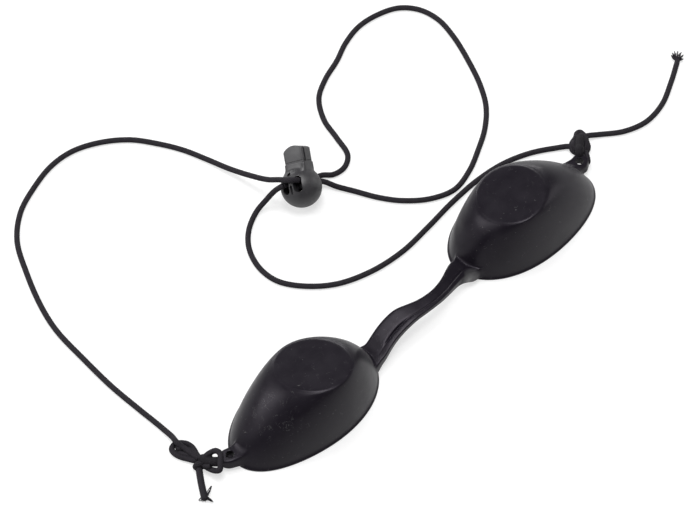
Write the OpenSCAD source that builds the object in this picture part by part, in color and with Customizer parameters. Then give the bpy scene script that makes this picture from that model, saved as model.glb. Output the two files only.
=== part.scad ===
// Eye guards for light treatment: two opaque cups on a flexible nose strap,
// worn on an elastic head cord that one sliding ball lock draws tight.
// Lengths are in millimetres, angles in degrees. The cups lie rim down on z = 0.
// In a cup's own frame u points to the nose and v to the brow.

/* [Eye cups] */
// Distance between the middles of the two cups
cup_spacing = 78.8; // [72:0.2:90]
// Half length of a cup's rim
rim_half_length = 22.8; // [20:0.1:26]
// Half width of a cup's rim
rim_half_width = 12.8; // [11:0.1:15]
// Height of a cup to the middle of its flat front
cup_height = 16.7; // [13:0.1:20]
// Thickness of a cup's wall
wall = 1.3; // [0.8:0.1:1.8]
// How far the rim's lip stands out from the cup's side
lip_out = 0.35; // [0.1:0.05:0.6]
// Height of the rim's lip
lip_height = 0.8; // [0.5:0.1:1.5]
// Fullness of the cup's side, 1 is a straight cone
fullness = 1.43; // [1.2:0.01:1.8]
// Turn of the right cup on the flexible strap, as it lies
right_cup_turn = 9.6; // [0:0.2:14]

/* [Flat front of a cup] */
// Long radius of the flat front
front_long_radius = 9.8; // [8:0.1:11]
// Short radius of the flat front
front_short_radius = 8.8; // [7:0.1:10]
// Turn of the flat front's long axis
front_turn = -58.5; // [-90:0.5:0]
// Place of the flat front's middle towards the nose
front_nose_shift = 3.8; // [2:0.1:6]
// Place of the flat front's middle towards the brow
front_brow_shift = 0.2; // [-1:0.1:1.5]
// Fall of the flat front towards the nose
front_fall_nose = 5.5; // [2:0.1:8]
// Fall of the flat front towards the brow
front_fall_brow = 11.8; // [6:0.1:14]

/* [Cord lugs] */
// Thickness of a lug
lug_thick = 2.2; // [1.5:0.1:2.8]
// Height of a lug's underside, which leaves room for the cord
lug_lift = 1.6; // [1.5:0.1:2.5]
// Width of a lug at its round end
lug_width = 4.6; // [4:0.1:5.4]
// Width of a lug at its root in the cup
lug_root_width = 6.8; // [5.6:0.1:8]
// Width of material between the cord hole and the lug's end
lug_end = 1.8; // [1:0.1:2.2]
// Radius of the cord hole in a lug
lug_hole_r = 1.1; // [0.9:0.05:1.4]
// Turn of a lug from the cup's long axis to the brow
lug_turn = 26; // [10:1:60]
// How far the cord hole lies past the end of the left cup, and of the right cup, as the cord pulls them
lug_reach_left = 0.6; // [0:0.1:1.5]
lug_reach_right = -0.2; // [-0.6:0.1:1.5]
// Place of the left cord hole towards the brow
lug_brow_left = 1.8; // [1:0.1:5]
// Place of the right cord hole towards the brow
lug_brow_right = 4.9; // [1:0.1:6]

/* [Nose strap] */
// Width of the strap at its crown
strap_width = 3.8; // [3:0.1:4.5]
// Width of the strap where it is widest, before a cup
strap_root_width = 6.4; // [5:0.1:7]
// Thickness of the strap at its crown
strap_thick = 1.8; // [1.2:0.1:2.6]
// Thickness of the strap where it joins a cup
strap_root_thick = 3.4; // [2.6:0.1:4.4]
// Height of the strap's middle line at its crown
strap_height = 6.3; // [5.6:0.1:9]
// Half length of the stiff crown between the two flexing arms
crown_half = 5.5; // [4:0.1:7]
// Depth of the groove along the strap's upper face
groove_depth = 0.35; // [0.1:0.05:0.6]

/* [Elastic cord] */
// Diameter of the cord
cord_d = 1.5; // [1.2:0.1:1.5]

/* [Ball lock] */
// Radius of the ball
ball_r = 5.4; // [5.2:0.1:6.5]
// Width of the push plunger
plunger_width = 7; // [6.6:0.1:7.2]
// Thickness of the push plunger
plunger_thick = 5; // [4.4:0.1:5.2]
// How far the plunger stands out of the ball at rest
plunger_out = 5; // [3:0.1:6]
// Travel of the plunger
plunger_travel = 2.2; // [1.4:0.1:2.2]
// Running clearance all round the plunger
plunger_clear = 0.1; // [0.05:0.01:0.2]
// Spacing between the two cords in the lock
slot_spacing = 3.5; // [3.4:0.05:3.6]
// Width of a cord slot in the ball
slot_width = 2.2; // [1.8:0.05:2.3]
// Length of a cord slot in the ball
slot_length = 4.3; // [3.8:0.1:4.6]
// Wire diameter of the lock's spring
wire_d = 0.4; // [0.3:0.05:0.4]
// Mean radius of the lock's spring
spring_r = 1.5; // [1.2:0.05:1.6]
// Turns of the lock's spring
spring_turns = 3.5; // [2.5:0.5:3.5]

/* [Hidden] */

// Colours of the moulding, the cord, the lock and the spring
moulding_colour = [0.11, 0.11, 0.12];
cord_colour = [0.16, 0.16, 0.17];
lock_colour = [0.25, 0.25, 0.26];
steel_colour = [0.7, 0.7, 0.72];

// The cup's outline is an ellipse with a slow swell: shares of the swell by angle
swell_cos2 = -0.31;
swell_sin2 = -0.51;
swell_cos3 = -0.31;
swell_sin3 = -0.17;
cup_sides = 48;
// Shares of the way from the rim to the flat front at which the side has a ring
side_shares = [0.015, 0.05, 0.11, 0.2, 0.32, 0.46, 0.62, 0.8, 0.93, 1];

// Middle line of the strap from the left cup to the right one. First number: up to 1 a share of the
// crown's half, past 1 the way on from the crown to the cup's rim, which is at 2. Second: y.
// Third: share of the way down from the crown to the root, in height and thickness. Fourth: share of
// the way from the crown's width to the widest.
strap_line = [[-2.41, -2.7, 1.0, 0.77], [-2.09, -2.6, 1.0, 0.85], [-1.85, -2.4, 0.78, 1.0],
              [-1.65, -1.85, 0.55, 0.97], [-1.42, -1.35, 0.36, 0.93], [-1.22, -1.2, 0.2, 0.9],
              [-1, -1.3, 0.06, 0.83], [-0.5, -1.85, 0, 0.46], [0, -2.45, 0, 0.16], [0.5, -2.8, 0, 0.02],
              [1, -2.8, 0.06, 0], [1.22, -2.35, 0.2, 0.06], [1.42, -1.7, 0.36, 0.21],
              [1.65, -0.8, 0.55, 0.5], [1.85, -0.2, 0.78, 0.65], [2.09, -0.2, 1.0, 0.7],
              [2.41, -0.2, 1.0, 0.7]];
strap_half = cup_spacing / 2 - rim_half_length + 1.2;
strap_root_height = 2.5;
strap_corner = 0.3;
// Rings of the strap at which its five stretches part
root_left = 3;
crown_left = 6;
crown_right = 10;
root_right = 13;

// Lock: place of the ball on the floor, and the way its plunger and its cord slots point
lock_at = [4.6, 45.6, ball_r];
plunger_turn = 60;
plunger_lean = 62.5;
slot_turn = 143.2;
cord_z = 1.35;
window_low = cord_z - cord_d / 2 - 0.05;
window_high = cord_z + cord_d / 2 + 0.1 + plunger_travel;
window_half = slot_spacing / 2 + cord_d / 2 + 0.15;
plunger_floor = window_low - 1.15;
plunger_top = ball_r + plunger_out;
bore_floor = plunger_floor - plunger_travel - 0.2;
spring_floor = -0.79 * ball_r;
spring_pocket_r = spring_r + wire_d / 2 + 0.3;

// Half width of the cord where it lies doubled, and of its worn left end
doubled_r = 1.4 * cord_d / 2;
worn_r = 1.2 * cord_d / 2;
// Routes of the cord on the floor, chosen by hand. Height is the last number.
cord_h = cord_d / 2;
knot_left_lead = [[-68.3, 7.2, 1.9], [-68.5, 9.1, 1.9], [-68.7, 11.2, 1.8], [-69, 12.9, 2.0],
                  [-69.2, 14.2, 2.45]];
left_run = [[-68.6, 16.5, 1.5], [-68.4, 20, cord_h], [-68.8, 28, cord_h], [-69.2, 38, cord_h],
            [-68.8, 49, cord_h], [-68, 60, cord_h], [-66, 68, cord_h], [-62, 78, cord_h],
            [-57, 87.5, cord_h], [-50.5, 93.5, cord_h], [-43, 96.8, cord_h], [-35, 98.8, cord_h],
            [-28, 98.4, cord_h], [-21, 95.4, cord_h], [-14.8, 90.5, cord_h], [-10.5, 84.5, cord_h],
            [-7, 78, cord_h], [-4.8, 71.5, 1.0], [-3.2, 65, 1.9], [-1.8, 58.5, 4.0],
            [-0.6, 53, 6.5], [0.3, 49.5, 9.1]];
loop_run = [[11.9, 44, 1.7], [13.2, 41.6, 1.0], [15.5, 37.5, cord_h], [18.8, 31.2, cord_h],
            [22.5, 26.2, cord_h], [28, 21.6, cord_h], [34.5, 19.2, cord_h], [41.5, 20.6, cord_h],
            [48, 23.6, cord_h], [54, 27, cord_h], [59.5, 31.8, cord_h], [63.5, 37.8, cord_h],
            [67, 45.5, cord_h], [70, 54, cord_h], [71.2, 61, cord_h], [70, 66.8, cord_h],
            [66.5, 71.2, cord_h], [61, 73.6, cord_h], [54.5, 74.4, cord_h], [48, 73, cord_h],
            [42, 70.4, cord_h], [35.5, 68.2, cord_h], [30, 65, cord_h], [26, 59, cord_h],
            [24.3, 52.5, cord_h], [22.5, 46.6, cord_h], [19.1, 44.4, cord_h], [15.5, 44.8, cord_h],
            [12.9, 46.9, cord_h]];
right_run = [[-0.9, 48.3, 7.7], [-1.7, 49.4, 5.7], [-3.6, 50.2, 3.2], [-7, 50.4, 1.1], [-12.3, 47.8, cord_h],
             [-16.2, 43.6, cord_h], [-18.4, 37.6, cord_h], [-18, 31.6, cord_h], [-14.6, 26, cord_h],
             [-8, 20.2, cord_h], [1, 16.6, cord_h], [11, 15.2, cord_h], [21, 15.8, cord_h],
             [31, 16.8, cord_h], [41, 17, cord_h], [49.5, 15.9, cord_h], [57, 13.2, cord_h],
             [62.6, 9.8, cord_h], [65, 8, 0.95]];
knot_right_lead = [[65.9, 6.9, 1.3], [66.9, 6.6, 1.3]];
tail_left_line = [[-69.2, 6.5, 1.6], [-70, 5.4, 1.2], [-71.3, 3.6, 0.9], [-72.6, 1.7, 0.9],
                  [-74.8, -1.8, 0.9]];
tail_right_line = [[70.7, 6.4, 1.5], [71.8, 6, 1.2], [74.2, 4.5, cord_h], [79.6, 0.6, cord_h],
                   [86, -1.4, cord_h],
                   [93, -0.6, cord_h], [100, 2.5, cord_h], [107.9, 6.9, cord_h]];

// Left knot: an open loop, the hitch over the lug's end and the doubled cord through its hole
knot_left_loop = [[-68.1, 7.5, 1.2], [-67.5, 9, 1.0], [-66.9, 11.1, 0.8], [-67.1, 12.7, 0.8],
                  [-67.9, 13.9, 0.8], [-69.3, 14.8, 0.8], [-70.8, 14.4, 0.8], [-71.2, 12.9, 0.8],
                  [-70.8, 11.2, 0.8], [-69.9, 9.4, 0.9], [-69.1, 7.9, 1.1]];
hitch_left = [[-68.4, 6.5, 1.8], [-67.3, 6.2, 2.6], [-66, 5.8, 3.4], [-64.7, 4.8, 4.3], [-64.6, 3.4, 4.5],
              [-66.4, 1.4, 4.5], [-67.5, 0.4, 4.0], [-68, 1.5, 2.6], [-68.3, 3.3, 1.6], [-68.5, 4.8, 1.4]];
hitch_left_middle = [[-68.6, 6.7, 2.2], [-67.9, 5.4, 2.4], [-67, 3.9, 2.9], [-66.2, 2.6, 3.5],
                     [-65.4, 2.2, 3.3]];
// Right knot: a wrap of three lobes round the doubled cord, and the hitch on both sides of the lug
knot_right_wrap = [[65.3, 5, 1.0], [65.2, 5.8, 1.2], [65.9, 6.9, 1.3], [66.9, 7.5, 1.4], [68, 7.7, 1.5],
                   [69, 8.1, 1.5], [69.8, 8.6, 1.4], [70.7, 8.4, 1.4], [70.8, 7.4, 1.5], [70.4, 6.1, 1.6],
                   [69.7, 5, 1.5], [68.9, 3.7, 1.3], [67.9, 3.1, 1.1], [67, 3.1, 0.9], [65.9, 3.8, 0.8]];
knot_right_core = [[69, 6.8, 2.2], [67.7, 5.7, 2.9], [66, 4.3, 3.4], [64.4, 2.9, 4.2], [63.6, 2.2, 4.0],
                   [63.3, 2, 3.2]];
hitch_right = [[66.5, 2.7, 2.2], [65.2, 1, 3.4], [64.6, 0.1, 3.0], [64.5, 0.5, 0.9], [63.5, 1.5, 0.8],
               [63.2, 2.9, 0.8], [63.9, 3.8, 0.9], [64.9, 4, 1.4]];

cord_sides = 8;

// Unit vector along v
function unit(v) = v / norm(v);
// A point turned by the angle a about z
function turned(p, a) = [p[0] * cos(a) - p[1] * sin(a), p[0] * sin(a) + p[1] * cos(a), p[2]];
// A point turned by the angle a about y
function tipped(p, a) = [p[0] * cos(a) + p[2] * sin(a), p[1], p[2] * cos(a) - p[0] * sin(a)];
// A point of the lock's own frame, x through the slots and z along the plunger, on the floor
function in_lock(p) = lock_at + turned(tipped(turned(p, slot_turn), plunger_lean), plunger_turn);

// Through the lock: the left run's slot, then the right run's slot
slot_y = slot_spacing / 2;
slot_mouth = ball_r - 0.2;
plunger_face = plunger_thick / 2 + 0.3;
pass_left = [in_lock([ball_r + 1.3, 0.4, 1.7]), in_lock([slot_mouth, slot_y, 1.45]),
             in_lock([plunger_face, slot_y, cord_z]), in_lock([-slot_mouth, slot_y, cord_z])];
pass_right = [in_lock([-slot_mouth, -slot_y, cord_z]), in_lock([plunger_face, -slot_y, cord_z]),
              in_lock([plunger_face + 1.3, -slot_y, 0.9]), in_lock([ball_r + 0.4, -slot_y - 0.2, 0.7])];

// The whole cord between its two knots, and the rings at which its stretches part
cord_route = concat(knot_left_lead, left_run, pass_left, loop_run, pass_right, right_run, knot_right_lead);
at_left_run = len(knot_left_lead);
at_pass_left = at_left_run + len(left_run) + 1;
at_loop = at_pass_left + len(pass_left) - 2;
at_pass_right = at_loop + len(loop_run) + 1;
at_right_run = at_pass_right + len(pass_right) - 1;
at_knot_right = at_right_run + len(right_run);

// Direction of a route at its point i, and the ring of a tube there
function heading(route, i) =
    unit(route[min(i + 1, len(route) - 1)] - route[max(i - 1, 0)]);
function tube_ring(route, i, r, way) =
    let (side = unit(cross([0, 0, 1], way)), over = cross(way, side))
    [for (k = [0:cord_sides - 1])
        let (a = (k + 0.5) * 360 / cord_sides) route[i] + r * (cos(a) * side + sin(a) * over)];

// Triangles between rings of n points each, of which there are m
function skin(n, m) =
    [for (j = [0:m - 2], k = [0:n - 1])
        let (a = j * n + k, b = j * n + (k + 1) % n)
        each [[a, b, b + n], [a, b + n, a + n]]];

// A tube along the points first to last of a route
module tube(route, first, last, r) {
    rings = [for (i = [first:last]) tube_ring(route, i, r, heading(route, i))];
    count = last - first + 1;
    polyhedron(
        points = [for (ring = rings, p = ring) p],
        faces = concat(
            [[for (k = [0:cord_sides - 1]) k]],
            [for (f = skin(cord_sides, count)) [f[2], f[1], f[0]]],
            [[for (k = [cord_sides - 1:-1:0]) (count - 1) * cord_sides + k]]),
        convexity = 6);
}

// A closed tube round the points of a loop
module ring_tube(loop, r) {
    n = len(loop);
    rings = [for (i = [0:n - 1]) tube_ring(loop, i, r, unit(loop[(i + 1) % n] - loop[(i + n - 1) % n]))];
    faces = [for (j = [0:n - 1], k = [0:cord_sides - 1])
        let (a = j * cord_sides, b = ((j + 1) % n) * cord_sides, l = (k + 1) % cord_sides)
        each [[a + k, b + l, a + l], [a + k, b + k, b + l]]];
    polyhedron(points = [for (ring = rings, p = ring) p], faces = faces, convexity = 6);
}

// Outline of the rim at the angle t, drawn in by the distance inset
function rim_point(t, inset) =
    let (swell = swell_cos2 * cos(2 * t) + swell_sin2 * sin(2 * t)
               + swell_cos3 * cos(3 * t) + swell_sin3 * sin(3 * t) - inset)
    [(rim_half_length + swell) * cos(t), (rim_half_width + swell) * sin(t)];
// Outline of the flat front at the angle t, drawn in by the distance inset
function front_point(t, inset) =
    let (p = turned([(front_long_radius - inset) * cos(t - front_turn),
                     (front_short_radius - inset) * sin(t - front_turn), 0], front_turn))
    [p[0] + front_nose_shift, p[1] + front_brow_shift];
// Height of the flat front above the point p
function front_height(p) =
    cup_height - tan(front_fall_nose) * (p[0] - front_nose_shift)
    - tan(front_fall_brow) * (p[1] - front_brow_shift);
// Share of the full height that the side has reached at the share s of its way in
function rise(s) = pow(1 - pow(1 - s, fullness), 1 / fullness);
// Ring of the cup's side at the share s, with rim and front drawn in, and lowered by drop
function side_ring(s, rim_inset, front_inset, drop) =
    [for (k = [0:cup_sides - 1])
        let (t = k * 360 / cup_sides, a = rim_point(t, rim_inset), b = front_point(t, front_inset),
             p = a * (1 - s) + b * s)
        [p[0], p[1], (front_height(b) - drop) * rise(s)]];
function flat_ring(inset, z) =
    [for (k = [0:cup_sides - 1]) let (p = rim_point(k * 360 / cup_sides, inset)) [p[0], p[1], z]];

// A closed solid under a stack of rings, flat at the bottom
module dome(rings) {
    n = cup_sides;
    m = len(rings);
    polyhedron(
        points = [for (ring = rings, p = ring) p],
        faces = concat([[for (k = [0:n - 1]) k]], [for (f = skin(n, m)) [f[2], f[1], f[0]]],
                       [[for (k = [n - 1:-1:0]) (m - 1) * n + k]]),
        convexity = 4);
}

module cup_outside() {
    dome(concat([flat_ring(0, 0), flat_ring(0, lip_height), flat_ring(lip_out, lip_height + 0.2)],
                [for (s = side_shares) if (s > 0.04) side_ring(s, lip_out, 0, 0)]));
}

module cup_inside() {
    below = 1;
    dome(concat([flat_ring(wall + lip_out / 2, -below)],
                [for (s = side_shares) side_ring(s, wall + lip_out / 2, wall / 2, wall)]));
}

// Tab with the cord hole, in the cup's frame, wider at its root
module lug(reach, brow) {
    back = 7;
    end_r = lug_width / 2;
    translate([-(rim_half_length + reach), brow, lug_lift]) rotate([0, 0, 180 - lug_turn])
        difference() {
            linear_extrude(lug_thick) hull() {
                translate([lug_hole_r + lug_end - end_r, 0]) circle(r = end_r, $fn = 48);
                translate([-back, -lug_root_width / 2]) square([1, lug_root_width]);
            }
            translate([0, 0, -1]) cylinder(r = lug_hole_r, h = lug_thick + 2, $fn = 48);
        }
}

// Moves a shape from a cup's frame to the left or the right side
module on_side(side) {
    if (side < 0) translate([-cup_spacing / 2, 0, 0]) children();
    else translate([cup_spacing / 2, 0, 0]) rotate([0, 0, -right_cup_turn]) mirror([1, 0, 0]) children();
}

// Place along x of a ring of the strap
function strap_x(share) =
    abs(share) <= 1 ? share * crown_half
                    : sign(share) * (crown_half + (abs(share) - 1) * (strap_half - crown_half));
// Cross-section of the strap at its ring i: a flat bar with a groove and a bead on the low side
function strap_ring(i) =
    let (row = strap_line[i], down = row[2],
         w = strap_width + (strap_root_width - strap_width) * row[3],
         t = strap_thick + (strap_root_thick - strap_thick) * down,
         x = strap_x(row[0]), y = row[1],
         z = strap_height + (strap_root_height - strap_height) * down,
         c = strap_corner, half = w / 2, top = t / 2, g = groove_depth)
    [for (p = [[-half, -top + c], [-half + c, -top], [half - c, -top], [half, -top + c],
               [half, top - c], [half - c, top], [-0.12 * w, top], [-0.18 * w, top - g],
               [-0.26 * w, top - g], [-0.32 * w, top], [-half + c, top], [-half, top - c]])
        [x, y + p[0], z + p[1]]];

// The strap between two of its rings
module strap(first, last) {
    n = 12;
    rings = [for (i = [first:last]) strap_ring(i)];
    m = last - first + 1;
    polyhedron(
        points = [for (ring = rings, p = ring) p],
        faces = concat([[for (k = [0:n - 1]) k]], [for (f = skin(n, m)) [f[2], f[1], f[0]]],
                       [[for (k = [n - 1:-1:0]) (m - 1) * n + k]]),
        convexity = 6);
}

module eyecup(side, reach, brow, first, last) {
    color(moulding_colour)
        difference() {
            union() {
                on_side(side) cup_outside();
                on_side(side) lug(reach, brow);
                strap(first, last);
            }
            on_side(side) cup_inside();
        }
}

module eyecup_left() { eyecup(-1, lug_reach_left, lug_brow_left, 0, root_left); }
module eyecup_right() {
    eyecup(1, lug_reach_right, lug_brow_right, root_right, len(strap_line) - 1);
}
module bridge_arm_left() { color(moulding_colour) strap(root_left, crown_left); }
module bridge_crown() { color(moulding_colour) strap(crown_left, crown_right); }
module bridge_arm_right() { color(moulding_colour) strap(crown_right, root_right); }

// Moves a shape from the lock's own frame to its place on the floor
module on_lock() {
    translate(lock_at) rotate([0, 0, plunger_turn]) rotate([0, plunger_lean, 0])
        rotate([0, 0, slot_turn]) children();
}

// Long hole with round ends through the lock, along its x
module slot(width, length, depth, y, z) {
    translate([0, y, z]) rotate([0, 90, 0]) linear_extrude(depth, center = true) {
        for (end = [-1, 1]) translate([end * (length - width) / 2, 0]) circle(d = width, $fn = 32);
        square([length - width, width], center = true);
    }
}

// Section of the plunger with round ends, grown by the distance grow
module plunger_section(grow) {
    r = plunger_thick / 2 + grow;
    shift = plunger_width / 2 + grow - r;
    for (end = [-1, 1]) translate([0, end * shift]) circle(r = r, $fn = 48);
    square([2 * r, 2 * shift], center = true);
}

module lock_barrel() {
    vent_r = 0.5;
    flash = [0.7, 2.6, 1.6];
    color(lock_colour) on_lock() difference() {
        sphere(r = ball_r, $fn = 64);
        translate([0, 0, bore_floor]) linear_extrude(2 * ball_r) plunger_section(plunger_clear);
        translate([0, 0, spring_floor]) cylinder(r = spring_pocket_r, h = ball_r, $fn = 48);
        for (side = [-1, 1]) slot(slot_width, slot_length, 3 * ball_r, side * slot_y, 0);
        // Flash groove between the slots and a small vent, on the front only
        translate([ball_r, 0, 0]) slot(flash[0], flash[1], flash[2], 0, -0.9);
        translate([ball_r * 0.72, -slot_y + 2 * vent_r, ball_r * 0.62]) rotate([0, 90, 0])
            cylinder(r = vent_r, h = ball_r / 2, center = true, $fn = 32);
    }
}

module lock_plunger() {
    arch_r = 5;
    groove_w = 0.7;
    groove_in = 0.35;
    color(lock_colour) on_lock() difference() {
        intersection() {
            translate([0, 0, plunger_floor]) linear_extrude(plunger_top - plunger_floor) plunger_section(0);
            union() {
                translate([0, 0, plunger_top - arch_r]) rotate([0, 90, 0])
                    cylinder(r = arch_r, h = 2 * plunger_thick, center = true, $fn = 96);
                translate([0, 0, (plunger_floor + plunger_top - arch_r) / 2 - 0.5])
                    cube([2 * plunger_thick, 2 * plunger_width, plunger_top - arch_r - plunger_floor + 1],
                         center = true);
            }
        }
        translate([0, 0, (window_low + window_high) / 2])
            cube([2 * plunger_thick, 2 * window_half, window_high - window_low], center = true);
        translate([plunger_thick / 2, plunger_width * 0.24, ball_r + plunger_out / 2])
            cube([2 * groove_in, groove_w, plunger_out + 0.2], center = true);
    }
}

// Coil of wire under the plunger, one unbroken helix
module lock_spring() {
    per_turn = 12;
    sides = 6;
    seat = 0.03;
    low = spring_floor + wire_d / 2 + seat;
    high = plunger_floor - wire_d / 2 - seat;
    steps = per_turn * spring_turns;
    rings = [for (i = [0:steps])
        let (a = i * 360 / per_turn, z = low + (high - low) * i / steps,
             out = [cos(a), sin(a), 0], c = [spring_r * cos(a), spring_r * sin(a), z])
        [for (k = [0:sides - 1])
            let (b = -k * 360 / sides) c + wire_d / 2 * (cos(b) * out + [0, 0, sin(b)])]];
    m = len(rings);
    color(steel_colour) on_lock() polyhedron(
        points = [for (ring = rings, p = ring) p],
        faces = concat([[for (k = [0:sides - 1]) k]], [for (f = skin(sides, m)) [f[2], f[1], f[0]]],
                       [[for (k = [sides - 1:-1:0]) (m - 1) * sides + k]]),
        convexity = 8);
}

module cord_left_run() { color(cord_colour) tube(cord_route, at_left_run, at_pass_left, cord_h); }
module cord_loop() { color(cord_colour) tube(cord_route, at_loop, at_pass_right, cord_h); }
module cord_right_run() { color(cord_colour) tube(cord_route, at_right_run, at_knot_right, cord_h); }
module cord_in_lock() {
    color(cord_colour) {
        tube(cord_route, at_pass_left, at_loop, cord_h);
        tube(cord_route, at_pass_right, at_right_run, cord_h);
    }
}

module knot_left() {
    color(cord_colour) union() {
        tube(cord_route, 0, at_left_run, cord_h);
        ring_tube(knot_left_loop, cord_h);
        ring_tube(hitch_left, cord_h);
        tube(hitch_left_middle, 0, len(hitch_left_middle) - 1, doubled_r);
    }
}

module knot_right() {
    color(cord_colour) union() {
        tube(cord_route, at_knot_right, len(cord_route) - 1, cord_h);
        ring_tube(knot_right_wrap, cord_h);
        ring_tube(hitch_right, cord_h);
        tube(knot_right_core, 0, len(knot_right_core) - 1, doubled_r);
    }
}

module tail_left() { color(cord_colour) tube(tail_left_line, 0, len(tail_left_line) - 1, worn_r); }
module tail_right() { color(cord_colour) tube(tail_right_line, 0, len(tail_right_line) - 1, cord_h); }

eyecup_left();
eyecup_right();
bridge_crown();
bridge_arm_left();
bridge_arm_right();
lock_barrel();
lock_plunger();
lock_spring();
cord_left_run();
cord_loop();
cord_right_run();
cord_in_lock();
knot_left();
knot_right();
tail_left();
tail_right();
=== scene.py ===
# %% [markdown]
# # Eye guards on an elastic head cord
#
# The object is a pair of soft black cups on a short nose strap, worn over closed eyes. A thin elastic
# cord is knotted to a lug on each cup and drawn tight by a small ball lock with a push plunger.
#
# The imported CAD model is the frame: it says where each piece lies and which body it moves with. Blender
# adds what a CAD solid leaves out: the braid of the cord, the soft run of the strap into the cups, the
# rounded edges of the lock, and the finish of each surface. Sizes and points are written in millimetres,
# as in the CAD model, and MM turns them into Blender's metres.

# %% Load the frame
import math
import random

import bmesh
import bpy
import numpy as np
from mathutils import Matrix, Vector


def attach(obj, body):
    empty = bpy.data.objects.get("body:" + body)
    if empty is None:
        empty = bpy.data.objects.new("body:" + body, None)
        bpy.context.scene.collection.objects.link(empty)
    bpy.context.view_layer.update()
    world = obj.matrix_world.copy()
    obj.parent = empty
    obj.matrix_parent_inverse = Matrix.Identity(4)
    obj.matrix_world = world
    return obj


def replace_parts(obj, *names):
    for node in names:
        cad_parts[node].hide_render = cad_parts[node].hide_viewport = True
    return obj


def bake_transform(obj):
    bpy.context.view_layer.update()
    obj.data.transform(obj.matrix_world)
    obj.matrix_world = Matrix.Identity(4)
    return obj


MM = 0.001
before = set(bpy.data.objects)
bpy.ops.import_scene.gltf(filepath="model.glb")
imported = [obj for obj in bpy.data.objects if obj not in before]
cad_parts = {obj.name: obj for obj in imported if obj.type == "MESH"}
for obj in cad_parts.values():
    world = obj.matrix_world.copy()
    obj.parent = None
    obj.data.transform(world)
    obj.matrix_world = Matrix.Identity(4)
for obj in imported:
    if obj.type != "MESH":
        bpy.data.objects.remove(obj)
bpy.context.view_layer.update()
bpy.ops.object.select_all(action="DESELECT")

# %% [markdown]
# ## The camera
#
# The camera comes first. A long lens stands 0.82 m away and looks down at 57 degrees over the left cup's
# outer end. It was found from the outlines of both rims and both flat fronts, whose sizes are known from
# the CAD model.

# %% Place the camera
camera_data = bpy.data.cameras.new("picture_camera")
camera_data.lens = 164.57
camera_data.sensor_width = 36
camera_data.clip_start = 0.05
camera = bpy.data.objects.new("picture_camera", camera_data)
camera.location = (-0.31553, -0.29454, 0.69030)
camera.rotation_euler = (math.radians(32.94), 0, math.radians(-44.81))
bpy.context.scene.collection.objects.link(camera)
bpy.context.scene.camera = camera

# %% [markdown]
# ## The cord's route
#
# The elastic is one length of 1.5 mm cord: knotted to the left lug, laid in a wide curve to the lock,
# out of it in a loop, through it again and on to the right lug. A cord could be simulated, but it would
# then lie anywhere. These are the points of the CAD model's route, so that the cord lies where its
# solids lie.

# %% From the left lug to the lock
CORD_RADIUS = 0.75 * MM
FLOOR_Z = 0.75


def on_floor(points):
    """Points given as x, y lie on the floor, and a third number is the height of the cord's middle."""
    return [Vector((p[0], p[1], p[2] if len(p) > 2 else FLOOR_Z)) for p in points]


left_lead = on_floor([
    (-68.3, 7.2, 1.9), (-68.5, 9.1, 1.9), (-68.7, 11.2, 1.8), (-69, 12.9, 2.0), (-69.2, 14.2, 2.45),
])
left_run = on_floor([
    (-68.6, 16.5, 1.5), (-68.4, 20), (-68.8, 28), (-69.2, 38), (-68.8, 49), (-68, 60), (-66, 68),
    (-62, 78), (-57, 87.5), (-50.5, 93.5), (-43, 96.8), (-35, 98.8), (-28, 98.4), (-21, 95.4),
    (-14.8, 90.5), (-10.5, 84.5), (-7, 78), (-4.8, 71.5, 1.0), (-3.2, 65, 1.9), (-1.8, 58.5, 4.0),
    (-0.6, 53, 6.5), (0.3, 49.5, 9.1),
])

# %% [markdown]
# ## Through the lock
#
# The ball lock lies tilted, held up by its cord. Its points are easiest to give in its own frame, with x
# along the slots and z along the plunger. Three turns lay that frame as in the CAD model, and a last one
# of 3 degrees about the line of sight lets the lock lean as it does in the picture.

# %% Turn the lock's own frame
LOCK_AT = Vector((4.6, 45.6, 5.4))
SLOT_SIDE = 1.75
to_camera = Vector((-0.384, -0.386, 0.839))
lock_turn = (
    Matrix.Rotation(math.radians(60), 3, "Z")
    @ Matrix.Rotation(math.radians(62.5), 3, "Y")
    @ Matrix.Rotation(math.radians(143.2), 3, "Z")
)
lock_turn = Matrix.Rotation(math.radians(-3), 3, to_camera) @ lock_turn


def in_lock(x, y, z):
    """The place of a point that is given in the lock's own frame."""
    return LOCK_AT + lock_turn @ Vector((x, y, z))


pass_left = [
    in_lock(6.7, 0.4, 1.7), in_lock(5.2, SLOT_SIDE, 1.45), in_lock(2.8, SLOT_SIDE, 1.35),
    in_lock(-5.2, SLOT_SIDE, 1.35),
]
pass_right = [
    in_lock(-5.2, -SLOT_SIDE, 1.35), in_lock(2.8, -SLOT_SIDE, 1.35), in_lock(4.1, -SLOT_SIDE, 0.9),
    in_lock(5.8, -1.95, 0.7),
]
print("plunger points along", [round(v, 2) for v in lock_turn @ Vector((0, 0, 1))])

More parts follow.
